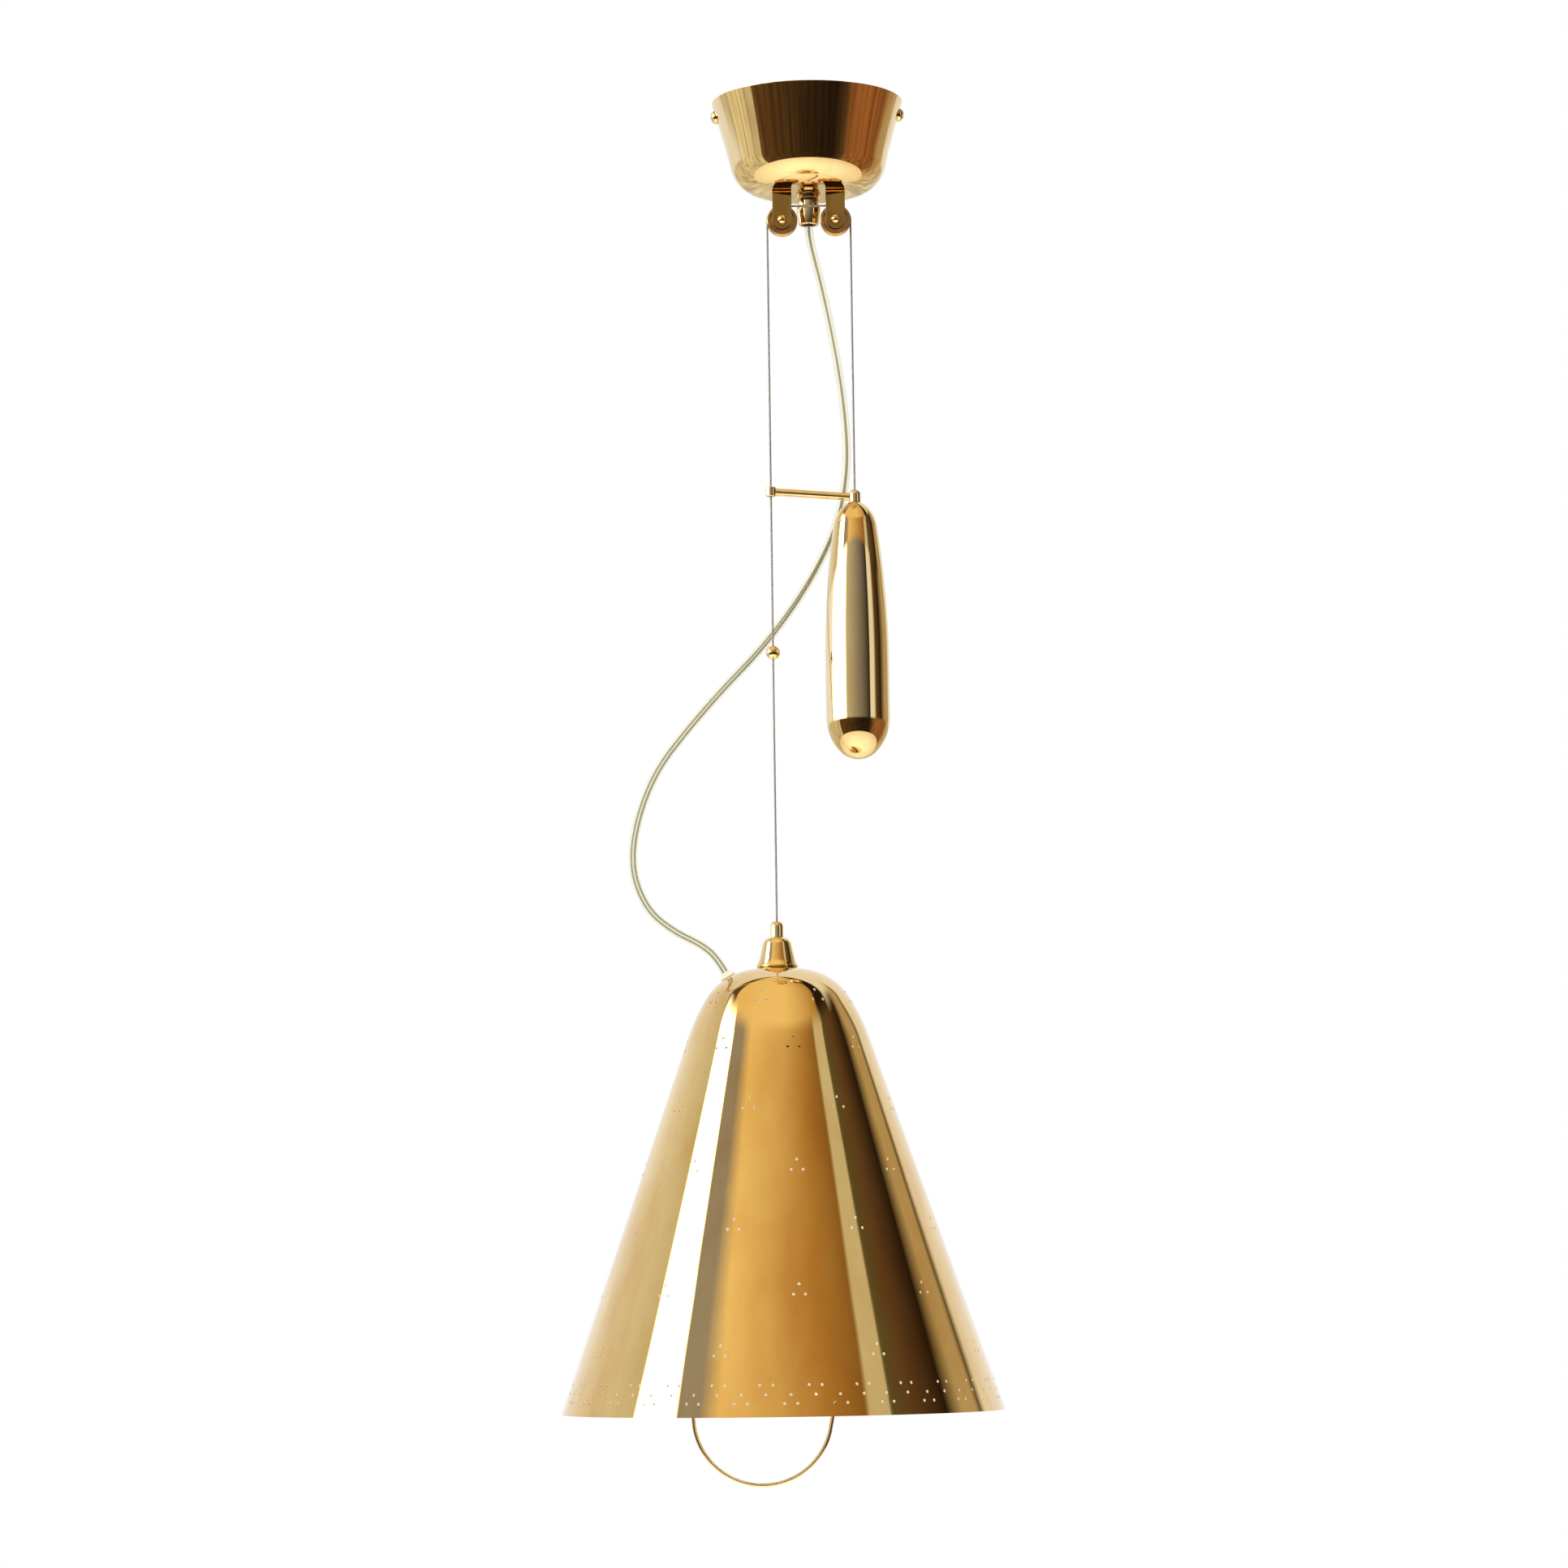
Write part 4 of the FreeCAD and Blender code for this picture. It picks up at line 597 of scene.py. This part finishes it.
def hung_line(name, route, bevel=0.0):
    """Curve object along a route in millimetres, drawn as one smooth quadratic spline."""
    curve = bpy.data.curves.new(name, "CURVE")
    curve.dimensions = "3D"
    spline = curve.splines.new("NURBS")
    spline.points.add(len(route) - 1)
    for point, place in zip(spline.points, route):
        point.co = (*(Vector(place) * MM), 1.0)
    spline.order_u = 3
    spline.use_endpoint_u = True
    curve.resolution_u = 12
    curve.bevel_depth = bevel * MM
    curve.bevel_resolution = 6
    curve.use_fill_caps = True
    return placed(name, curve)


def as_mesh(drawn):
    """Plain mesh of a drawn curve, which is taken away."""
    mesh = bpy.data.meshes.new_from_object(
        drawn.evaluated_get(bpy.context.evaluated_depsgraph_get()))
    bpy.data.objects.remove(drawn)
    return mesh


# Clear sheath: pale straw yellow in depth and glossy, so the cores show as two thin dark lines.
clear_sheath = finish_of("vinyl, extruded clear", "#F2EEDA", 0.0, 0.05,
                         {"Transmission Weight": 0.96, "IOR": 1.22})
clouded(clear_sheath, size=12.0, low=0.03, high=0.09)

# Tinned copper: greyish olive strands seen through their own clear insulation.
tinned_core = finish_of("copper, tinned and stranded", "#A3A081", 0.35, 0.4)
clouded(tinned_core, size=4.0, low=0.3, high=0.5)

flex_path = [tuple(v.co) for v in as_mesh(hung_line("flex_centre", flex_route)).vertices]
flex_mesh = as_mesh(hung_line("flex_skin", flex_route, flex_radius))
flex_mesh.materials.append(clear_sheath)
flex_mesh.shade_smooth()
flex_sheath = placed("flex_clear_sheath", flex_mesh)
flex_cores = run_tree("flex_twisted_cores", line_mesh("cores", flex_path[1:-1]), laid_strands,
                      Strands=2, Strand_Radius=0.6 * MM, Heart_Radius=0.1 * MM,
                      Laid_Radius=1.2 * MM, Lay_Length=2400 * MM, Steps=500.0,
                      Finish=tinned_core)
for piece in (flex_sheath, flex_cores):
    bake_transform(piece)
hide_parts("flex")
dressed("flex_tail_in_canopy", "flex_tail", clear_sheath)
dressed("flex_cores_to_block", "supply_cores", tinned_core)
dressed("flex_lead_to_holder", "holder_lead", clear_sheath)
dressed("flex_shade_bush", "flex_bush", soft_vinyl)


# ---- ferrule and neck cap ----
# The rope's end is crimped in a turned brass ferrule with a domed top. Its stud goes down through
# a bell-shaped cap, spun from brass, that covers the hole in the crown of the shade.

lamp_x, lamp_y = rope_feet["left"].x, rope_feet["left"].y
stud_length = 8.0
ferrule_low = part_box("lamp_ferrule")[0].z + stud_length * MM
lamp_ferrule = [
    (0.0, -stud_length), (3.0, -stud_length), (3.0, 0.0), (5.0, 0.0), (5.0, 8.3),
    (rope_radius, 12.5, 4.3), (rope_radius, 8.5), (0.0, 8.5),
]
stands_for(turned("lamp_rope_ferrule", eased(traced(lamp_ferrule), 0.3),
                  (lamp_x, lamp_y, ferrule_low), [turned_brass], around=72), "lamp_ferrule")
neck_bell = [
    (3.0, 0.0), (5.6, 0.0), (11.2, -5.8, -7.0), (13.6, -15.8), (16.2, -22.2, 22.0),
    (15.6, -23.4), (14.3, -23.4), (12.3, -15.8), (9.9, -5.8), (5.6, -3.0), (3.0, -3.0),
]
stands_for(turned("shade_neck_cap", eased(traced(neck_bell), 0.4),
                  (lamp_x, lamp_y, ferrule_low), [turned_brass], around=96), "neck_cap")


# ---- shade ----
# One disc of 0.85 mm brass, spun over a chuck to a dome and a long cone and polished outside. It is
# sprayed white inside, and pricked with 2.3 mm holes: triangles of three, and a band at the rim.

shade_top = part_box("shade")[1].z
shade_wall = 0.85
shade_brass = mopped_brass("brass, spun and mopped, shade", "#E8C88E", "#DBB272", 0.022,
                           cloud=45, wave=55, wave_height=0.22, run=4)

# Sprayed lacquer: white, satin, with the faint peel that a spray gun leaves.
white_lacquer = finish_of("lacquer, sprayed white", "#EFEBE0", 0.0, 0.45)
grained(white_lacquer, size=2.5, depth=0.04, strength=0.5)

shade_line = traced([
    (5.1, -0.12),
    (26.61, -3.267, -110.0),
    (55.1, -23.97, -47.0),
    (69.49, -53.97, -150.0),
    (169.0, -339.9),
], run=11)


def slopes_of(line):
    """Outward way at each point of a meridian that runs down, the mean of the runs beside it."""
    runs = [(b - a).normalized() for a, b in zip(line, line[1:])]
    sums = [a + b for a, b in zip(runs[:1] + runs, runs + runs[-1:])]
    return [Vector((-way.y, way.x)).normalized() for way in sums]


shade_slopes = slopes_of(shade_line)


def meridian_at(height):
    """Radius of the shade at a height under its top, and its outward slope, in millimetres."""
    k = next((k for k, point in enumerate(shade_line[1:]) if point.y <= height),
             len(shade_line) - 2)
    upper, lower = shade_line[k], shade_line[k + 1]
    share = (upper.y - height) / (upper.y - lower.y)
    return upper.lerp(lower, share).x, shade_slopes[k].lerp(shade_slopes[k + 1], share)


def round_shade(azimuth, height, aside=0.0):
    """Place and outward way on the shade: degrees from the front toward +X, mm under its top."""
    radius, slope = meridian_at(height)
    angle = math.radians(azimuth) + aside / radius
    out = Vector((math.sin(angle), -math.cos(angle), 0))
    place = Vector((lamp_x, lamp_y, shade_top)) + (out * radius + Vector((0, 0, height))) * MM
    return place, out * slope.x + Vector((0, 0, slope.y))


# Rows of holes: height under the ceiling and degrees of the first group; at the rim also the number
# of groups, and how far aside their holes sit.
hole_radius = 1.15
triangles_round = 8
triangle_rows = [(-706, -13), (-742.5, 9), (-788.8, -15), (-836, 7), (-880, -17), (-928.5, 5.5),
                 (-973, -17.5)]
triangle = [(0.0, 4.2), (-4.4, -3.4), (4.4, -3.4)]
rim_rows = [(-997.7, 8.6, 28, (-4.8, 4.8)), (-1004.6, 2.1, 56, (0.0,)),
            (-1011, 2.1, 28, (-4.8, 4.8))]
drill_marks = []
for row_z, first in triangle_rows:
    for k in range(triangles_round):
        drill_marks += [round_shade(first + 360 / triangles_round * k,
                                    row_z - shade_top / MM + rise, aside)
                        for aside, rise in triangle]
for row_z, first, count, asides in rim_rows:
    for k in range(count):
        drill_marks += [round_shade(first + 360 / count * k, row_z - shade_top / MM, aside)
                        for aside in asides]
bores = [hole_radius * MM] * len(drill_marks)

# The flex's hole, bored square to the crown beside the cap.
entry_x, entry_drop, entry_radius, entry_tilt = 38.0, 7.75, 4.6, math.radians(28.96)
drill_marks.append((Vector((lamp_x - entry_x * MM, lamp_y, shade_top - entry_drop * MM)),
                    Vector((-math.sin(entry_tilt), 0, math.cos(entry_tilt)))))
bores.append(entry_radius * MM)


def drilling_tree():
    """Stands a drill on every mark, along the mark's outward way, and cuts them all out."""
    tree = bpy.data.node_groups.new("perforation", "GeometryNodeTree")
    for name, kind, way in (("Marks", "NodeSocketGeometry", "INPUT"),
                            ("Shade", "NodeSocketObject", "INPUT"),
                            ("Drill Length", "NodeSocketFloat", "INPUT"),
                            ("Drill Sides", "NodeSocketInt", "INPUT"),
                            ("Outside", "NodeSocketMaterial", "INPUT"),
                            ("Inside", "NodeSocketMaterial", "INPUT"),
                            ("Pierced", "NodeSocketGeometry", "OUTPUT")):
        tree.interface.new_socket(name=name, in_out=way, socket_type=kind)
    given = add(tree, "NodeGroupInput").outputs
    outward = add(tree, "GeometryNodeInputNamedAttribute", {"Name": "outward"},
                  data_type="FLOAT_VECTOR").outputs["Attribute"]
    bore = add(tree, "GeometryNodeInputNamedAttribute", {"Name": "bore"},
               data_type="FLOAT").outputs["Attribute"]
    lean = add(tree, "FunctionNodeAlignRotationToVector", {"Vector": outward},
               axis="Z").outputs["Rotation"]
    width = add(tree, "ShaderNodeCombineXYZ", {"X": bore, "Y": bore, "Z": 1.0}).outputs[0]
    drill = add(tree, "GeometryNodeMeshCylinder", {
        "Vertices": given["Drill Sides"], "Radius": 1.0, "Depth": given["Drill Length"]})
    drills = add(tree, "GeometryNodeInstanceOnPoints", {
        "Points": given["Marks"], "Instance": drill.outputs["Mesh"], "Rotation": lean,
        "Scale": width}).outputs["Instances"]
    cutters = add(tree, "GeometryNodeRealizeInstances", {"Geometry": drills}).outputs[0]
    blank = add(tree, "GeometryNodeObjectInfo", {"Object": given["Shade"]}).outputs["Geometry"]
    pierced = add(tree, "GeometryNodeMeshBoolean", {"Mesh 1": blank, "Mesh 2": cutters},
                  operation="DIFFERENCE", solver="MANIFOLD").outputs["Mesh"]
    lined = add(tree, "GeometryNodeInputNamedAttribute", {"Name": "lined"},
                data_type="BOOLEAN").outputs["Attribute"]
    whole = add(tree, "GeometryNodeRealizeInstances", {"Geometry": pierced}).outputs[0]
    brass = add(tree, "GeometryNodeSetMaterial", {
        "Geometry": whole, "Material": given["Outside"]}).outputs["Geometry"]
    painted = add(tree, "GeometryNodeSetMaterial", {
        "Geometry": brass, "Material": given["Inside"], "Selection": lined}).outputs["Geometry"]
    add(tree, "NodeGroupOutput", {"Pierced": painted})
    return tree


shade_loop = with_inner_face(shade_line, -shade_wall)
shade_blank = turned("shade_blank", shade_loop, (lamp_x, lamp_y, shade_top), [],
                     around=192, inside_from=len(shade_line))
lined = shade_blank.data.attributes.new("lined", "BOOLEAN", "FACE")
lined.data.foreach_set("value", [p.material_index == 1 for p in shade_blank.data.polygons])
for polygon in shade_blank.data.polygons:
    polygon.material_index = 0

marks = bpy.data.meshes.new("drill_marks")
marks.from_pydata([place for place, way in drill_marks], [], [])
marks.attributes.new("outward", "FLOAT_VECTOR", "POINT").data.foreach_set(
    "vector", [share for place, way in drill_marks for share in way])
marks.attributes.new("bore", "FLOAT", "POINT").data.foreach_set("value", bores)
shade = run_tree("shade_pierced", marks, drilling_tree(), Shade=shade_blank,
                 Drill_Length=9 * MM, Drill_Sides=14, Outside=shade_brass, Inside=white_lacquer)
bpy.data.objects.remove(shade_blank)


def true_normals(mesh):
    """Gives both faces of the sheet the normals of the spun form, which drilling disturbs."""
    mesh.shade_smooth()
    lowest, highest = shade_line[-1].y + 0.1, shade_line[0].y - 0.01
    normals = []
    for polygon in mesh.polygons:
        for loop in polygon.loop_indices:
            place = mesh.vertices[mesh.loops[loop].vertex_index].co
            out = Vector((place.x - lamp_x, place.y - lamp_y, 0)).normalized()
            height = min(max((place.z - shade_top) / MM, lowest), highest)
            slope = meridian_at(height)[1]
            true = out * slope.x + Vector((0, 0, slope.y))
            facing = true.dot(polygon.normal)
            normals.append(math.copysign(1, facing) * true if abs(facing) > 0.9
                           else polygon.normal)
    mesh.normals_split_custom_set(normals)


true_normals(shade.data)
stands_for(shade, "shade")


# ---- stem, strap and pull handle ----
# A steel nipple down the axis clamps the crown between a washer and a nut, and carries a flat brass
# strap. The handle is 3.1 mm brass wire bent to a bow, its threaded ends nutted to the strap.

wire_brass = mopped_brass("brass wire, drawn and buffed", "#F0D9A6", "#E4C488", 0.1,
                          cloud=14, wave=10, wave_height=0.002, run=4)
dressed("stem_nipple", "nipple", zinc_plate)
dressed("stem_crown_washer", "crown_washer", zinc_plate)
dressed("stem_nuts", "nipple_nuts", plain_brass, bevel=0.25)
dressed("handle_cross_strap", "handle_strap", plain_brass, bevel=0.25)

# The wire, in mm from the top of the strap: its end in the strap's hole, the bends below the strap
# and at its widest, and the bow, which hangs a little askew.
wire_radius = 1.55
hole_x, wire_end, first_bend = 40.0, 5.0, -15.0
wide_x, wide_z = 58.5, -262.0
bend_radii = (30.0, 120.0)
bow_radius, bow_z = 52.8, -301.2
handle_lean, handle_slope = math.radians(3.05), math.radians(10)


def bent(corners, radii):
    """Middle line of a wire, straight between corners in a plane, with a bend at each inner one."""
    route = [corners[0]]
    for before, corner, after, radius in zip(corners, corners[1:], corners[2:], radii):
        back, ahead = (before - corner).normalized(), (after - corner).normalized()
        trim = radius / math.tan(back.angle(ahead) / 2)
        way = math.copysign(radius, -back.cross(ahead))
        route.append(corner + back * trim)
        route += arc_points(corner + back * trim, corner + ahead * trim, way)
    return route + [corners[-1]]


def handle_leg(side):
    """One leg of the handle from its nut down to the bow, in mm from the strap."""
    leaning = Matrix.Rotation(-handle_lean, 2)
    widest = leaning @ Vector((side * wide_x, wide_z))
    foot = leaning @ Vector((side * bow_radius * math.cos(handle_slope),
                             bow_z - bow_radius * math.sin(handle_slope)))
    return bent([Vector((side * hole_x, wire_end)), Vector((side * hole_x, first_bend)),
                 widest, foot], bend_radii)


left_leg, right_leg = handle_leg(-1), handle_leg(1)
handle_route = left_leg + arc_points(left_leg[-1], right_leg[-1], bow_radius) + right_leg[-2::-1]
strap_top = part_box("handle_strap")[1].z / MM
handle_line = [(lamp_x / MM + x, lamp_y / MM, strap_top + z) for x, z in handle_route]
handle_mesh = as_mesh(hung_line("handle_wire", handle_line, wire_radius))
handle_mesh.materials.append(wire_brass)
handle_mesh.shade_smooth()
stands_for(placed("pull_handle", handle_mesh), "handle")
dressed("handle_end_nuts", "handle_nuts", plain_brass, bevel=0.15)


# ---- lampholder ----
# A brass cap on the nipple holds a ceramic core with the contacts; a dark phenolic skirt screws
# on below it, round the threaded sleeve that takes the lamp.

# Phenolic: nearly black brown, glossy from the mould.
phenolic = finish_of("phenolic, moulded", "#2A211C", 0.0, 0.22)
clouded(phenolic, size=6.0, low=0.16, high=0.32)

# Steatite: a dense off-white ceramic under a thin clear glaze.
steatite = finish_of("steatite, glazed", "#E9E4D6", 0.0, 0.2)
clouded(steatite, size=1.5, low=0.15, high=0.3)
dressed("lampholder_cap", "holder_cap", plain_brass)
dressed("lampholder_core", "holder_core", steatite)
dressed("lampholder_skirt", "holder_shell", phenolic)
dressed("lampholder_sleeve", "holder_sleeve", plain_brass)
dressed("lampholder_contact", "holder_contact", plain_brass)


# ---- counterweight and guide arm ----
# A long bob spun from brass in two halves and filled with iron. The rope's ferrule screws into its
# top and carries an arm, whose eye, lined with clear nylon, slides on the lamp's rope.

weight_x, weight_y = rope_feet["right"].x, rope_feet["right"].y
weight_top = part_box("weight_shell")[1].z
weight_line = [
    (3.0, 0.0), (4.7, 0.0), (17.0, -18.5, -25.9), (24.8, -126.0, -754.0), (24.8, -168.7),
    (14.12, -195.1, -38.0), (0.0, -201.1, -19.6145), (0.0, -200.1), (13.4, -194.4, 18.6145),
    (23.8, -168.7, 37.0), (23.8, -126.0), (16.01, -18.64, 753.0), (4.3, -1.0, 24.9), (3.0, -1.0),
]
weight_brass = mopped_brass("brass, spun and mopped, bob", "#E9CB94", "#DFBC80", 0.018,
                            cloud=30, wave=30, wave_height=0.045, run=4)
stands_for(turned("weight_bob", eased(traced(weight_line, run=10), 0.3),
                  (weight_x, weight_y, weight_top), [weight_brass], around=144), "weight_shell")
weight_ferrule = [
    (0.0, -stud_length), (3.0, -stud_length), (3.0, 0.0), (4.6, 0.0), (4.6, 6.2),
    (rope_radius, 10.0, 3.9), (rope_radius, 6.0), (0.0, 6.0),
]
stands_for(turned("weight_rope_ferrule", eased(traced(weight_ferrule), 0.3),
                  (weight_x, weight_y, weight_top), [turned_brass], around=72), "weight_ferrule")

# Cast iron: dark grey and rough from the sand.
cast_iron = finish_of("iron, sand cast", "#3B3A39", 1.0, 0.62)
grained(cast_iron, size=1.0, depth=0.2, strength=0.8)
dressed("weight_iron_filling", "weight_core", cast_iron)
dressed("guide_arm", "guide_rod", turned_brass)
eye_low, eye_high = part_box("guide_eye")
eye_half = (eye_high.z - eye_low.z) / 2 / MM
guide_eye = [(2.6, -eye_half), (3.4, -eye_half), (4.0, 0.6 - eye_half), (4.0, eye_half - 0.6),
             (3.4, eye_half), (2.6, eye_half)]
stands_for(turned("guide_eye_ring", eased(traced(guide_eye), 0.25), (eye_low + eye_high) / 2,
                  [turned_brass], around=64), "guide_eye")
dressed("guide_eye_liner", "guide_liner", soft_vinyl)


# ---- studio: floor, room, lamps and camera ----
# A plain pale floor stands well under the lamp. The room round it is pale, with a tall soft window
# on the left and a few warm and dark cards, which the polished brass picks up as upright bands.

floor_radius, floor_z, floor_corners = 4.4, -3.4, 96
floor_mesh = bpy.data.meshes.new("studio_floor")
floor_edge = [2 * math.pi * k / floor_corners for k in range(floor_corners)]
floor_mesh.from_pydata([(floor_radius * math.cos(a), floor_radius * math.sin(a), floor_z)
                        for a in floor_edge], [], [list(range(floor_corners))])

# Floor paint: a pale matt coat, rolled on.
floor_mesh.materials.append(finish_of("paint, rolled, pale", "#F4F5F6", 0.0, 0.6))
placed("studio_floor", floor_mesh)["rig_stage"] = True

room = bpy.data.worlds.new("studio_room")
room.use_nodes = True
bpy.context.scene.world = room
room_tree = room.node_tree
look = add(room_tree, "ShaderNodeSeparateXYZ", {
    "Vector": add(room_tree, "ShaderNodeTexCoord").outputs["Generated"]}).outputs
ahead = add(room_tree, "ShaderNodeMath", {0: look["Y"], 1: -1.0}, operation="MULTIPLY").outputs[0]
over_half = add(room_tree, "ShaderNodeMapRange", {
    "Value": look["Z"], "From Min": 0.5, "To Max": 0.46}).outputs["Result"]
vaulted = add(room_tree, "ShaderNodeMath", {0: ahead, 1: over_half}).outputs[0]
round_angle = add(room_tree, "ShaderNodeMath", {0: look["X"], 1: vaulted},
                  operation="ARCTAN2").outputs[0]
round_share = add(room_tree, "ShaderNodeMath", {0: round_angle, 1: 0.5 / math.pi, 2: 0.5},
                  operation="MULTIPLY_ADD").outputs[0]

# Tones of the room: the window, the plain wall and the cards hung round the lamp.
window = paint("#FFFFFF", 5)
sky = paint("#D0DEFF", 1.7)
wall = paint("#EEF2F6", 1.15)
linen = paint("#DDDCCB")
straw = paint("#FAE4AA", 1.1)
sand = paint("#C6B794")
ochre = paint("#C49C5C")
bronze = paint("#98743E")
clay = paint("#986844")
moss = paint("#666242")
slate = paint("#A8A8AE")
umber = paint("#685038")
soot = paint("#2C221A")

# Each ring of the room: the degrees from the front toward +X at which it has a tone.
crown_ring = [
    (-98, wall), (-92, umber), (-74, umber), (-70, straw), (10, straw), (56, ochre), (60, soot),
    (82, soot), (88, wall),
]
upper_ring = [
    (-150, wall), (-90, linen), (-89, window), (-62, window), (-61, slate), (-46, slate),
    (-34, straw), (22, ochre), (46, bronze), (47, linen), (61, linen), (62, moss), (76, umber),
    (100, soot), (112, sand), (124, sand), (128, moss), (133, wall),
]
middle_ring = [
    (-150, wall), (-112, sky), (-84, window), (-44, window), (-42, linen), (-6, slate),
    (44, soot), (46, wall), (60, wall), (68, umber), (90, soot), (114, sand), (134, sand),
    (140, wall),
]
lower_ring = [
    (-73, linen), (-72, umber), (10, soot), (40, soot), (56, umber), (57, clay), (110, clay),
    (130, sand), (156, linen),
]
rings = []
for cards in (lower_ring, middle_ring, upper_ring, crown_ring):
    ring = add(room_tree, "ShaderNodeValToRGB", {"Fac": round_share})
    stops = ring.color_ramp.elements
    while len(stops) < len(cards):
        stops.new(0.5)
    for stop, (degrees, tone) in zip(stops, cards):
        stop.position = degrees / 360 + 0.5
        stop.color = tone
    rings.append(ring.outputs["Color"])
lower, middle, upper, crown = rings
skyline = add(room_tree, "ShaderNodeMath", {0: look["Y"], 1: 0.13, 2: look["Z"]},
              operation="MULTIPLY_ADD").outputs[0]


def above(height, low, high, lower, upper):
    """Room colour that goes from a lower ring to an upper one between two values of a height."""
    share = add(room_tree, "ShaderNodeMapRange", {
        "Value": height, "From Min": low, "From Max": high},
        interpolation_type="SMOOTHSTEP").outputs["Result"]
    mixed = add(room_tree, "ShaderNodeMix", {
        "Factor_Float": share, "A_Color": lower, "B_Color": upper}, data_type="RGBA")
    return output(mixed, "Result_Color")


# The lower cards hang in folds. Each ring goes softly over to the next, and the camera sees white.
upright = add(room_tree, "ShaderNodeMapping", {
    "Vector": add(room_tree, "ShaderNodeTexCoord").outputs["Generated"], "Scale": (13, 13, 1.2)})
folds = add(room_tree, "ShaderNodeTexNoise", {"Vector": upright.outputs[0], "Scale": 1.0,
                                              "Detail": 4.0}).outputs["Fac"]
shade_of_folds = add(room_tree, "ShaderNodeMapRange", {
    "Value": folds, "From Min": 0.35, "From Max": 0.65, "To Min": 0.7, "To Max": 1.35}).outputs[0]
hung = add(room_tree, "ShaderNodeMix", {
    "Factor_Float": 1.0, "A_Color": lower, "B_Color": shade_of_folds},
    data_type="RGBA", blend_type="MULTIPLY")
cards_round = above(look["Z"], -0.06, 0.04, output(hung, "Result_Color"), middle)
cards_round = above(skyline, 0.272, 0.296, cards_round, upper)
cards_round = above(look["Z"], 0.62, 0.76, cards_round, crown)
seen = add(room_tree, "ShaderNodeLightPath").outputs
straight = add(room_tree, "ShaderNodeMath", {
    0: seen["Is Camera Ray"], 1: seen["Is Transmission Ray"]}, operation="MAXIMUM").outputs[0]
cards_light = add(room_tree, "ShaderNodeBackground", {"Color": cards_round, "Strength": 1.0})
plain_light = add(room_tree, "ShaderNodeBackground", {
    "Color": paint("#FFFFFF"), "Strength": 1.0})
both = add(room_tree, "ShaderNodeMixShader", {
    0: straight, 1: cards_light.outputs[0], 2: plain_light.outputs[0]})
room_tree.links.new(both.outputs[0], room_tree.nodes["World Output"].inputs["Surface"])

for name, place, width, power in (("soft_window", (-1.8, -2.2, 1.2), 1.6, 230),
                                  ("soft_fill", (1.9, -1.6, 0.2), 1.2, 90)):
    light = bpy.data.lights.new(name, "AREA")
    light.size = width
    light.energy = power
    lamp = placed(name, light)
    lamp.location = place
    lamp.rotation_euler = (Vector((0, 0, -0.6)) - Vector(place)).to_track_quat("-Z", "Y").to_euler()
    lamp.visible_glossy = False
    lamp.visible_transmission = False

camera_place, camera_pitch, camera_roll = (-0.02555, -3.693, -0.9327), 96.095, -0.8
camera_data = bpy.data.cameras.new("photograph_view")
camera_data.lens = 109.94
camera = placed("photograph_view", camera_data)
camera.matrix_world = (Matrix.Translation(camera_place)
                       @ Matrix.Rotation(math.radians(camera_pitch), 4, "X")
                       @ Matrix.Rotation(math.radians(camera_roll), 4, "Z"))
bpy.context.scene.camera = camera
bpy.context.scene.view_settings.view_transform = "Standard"

low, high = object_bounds()
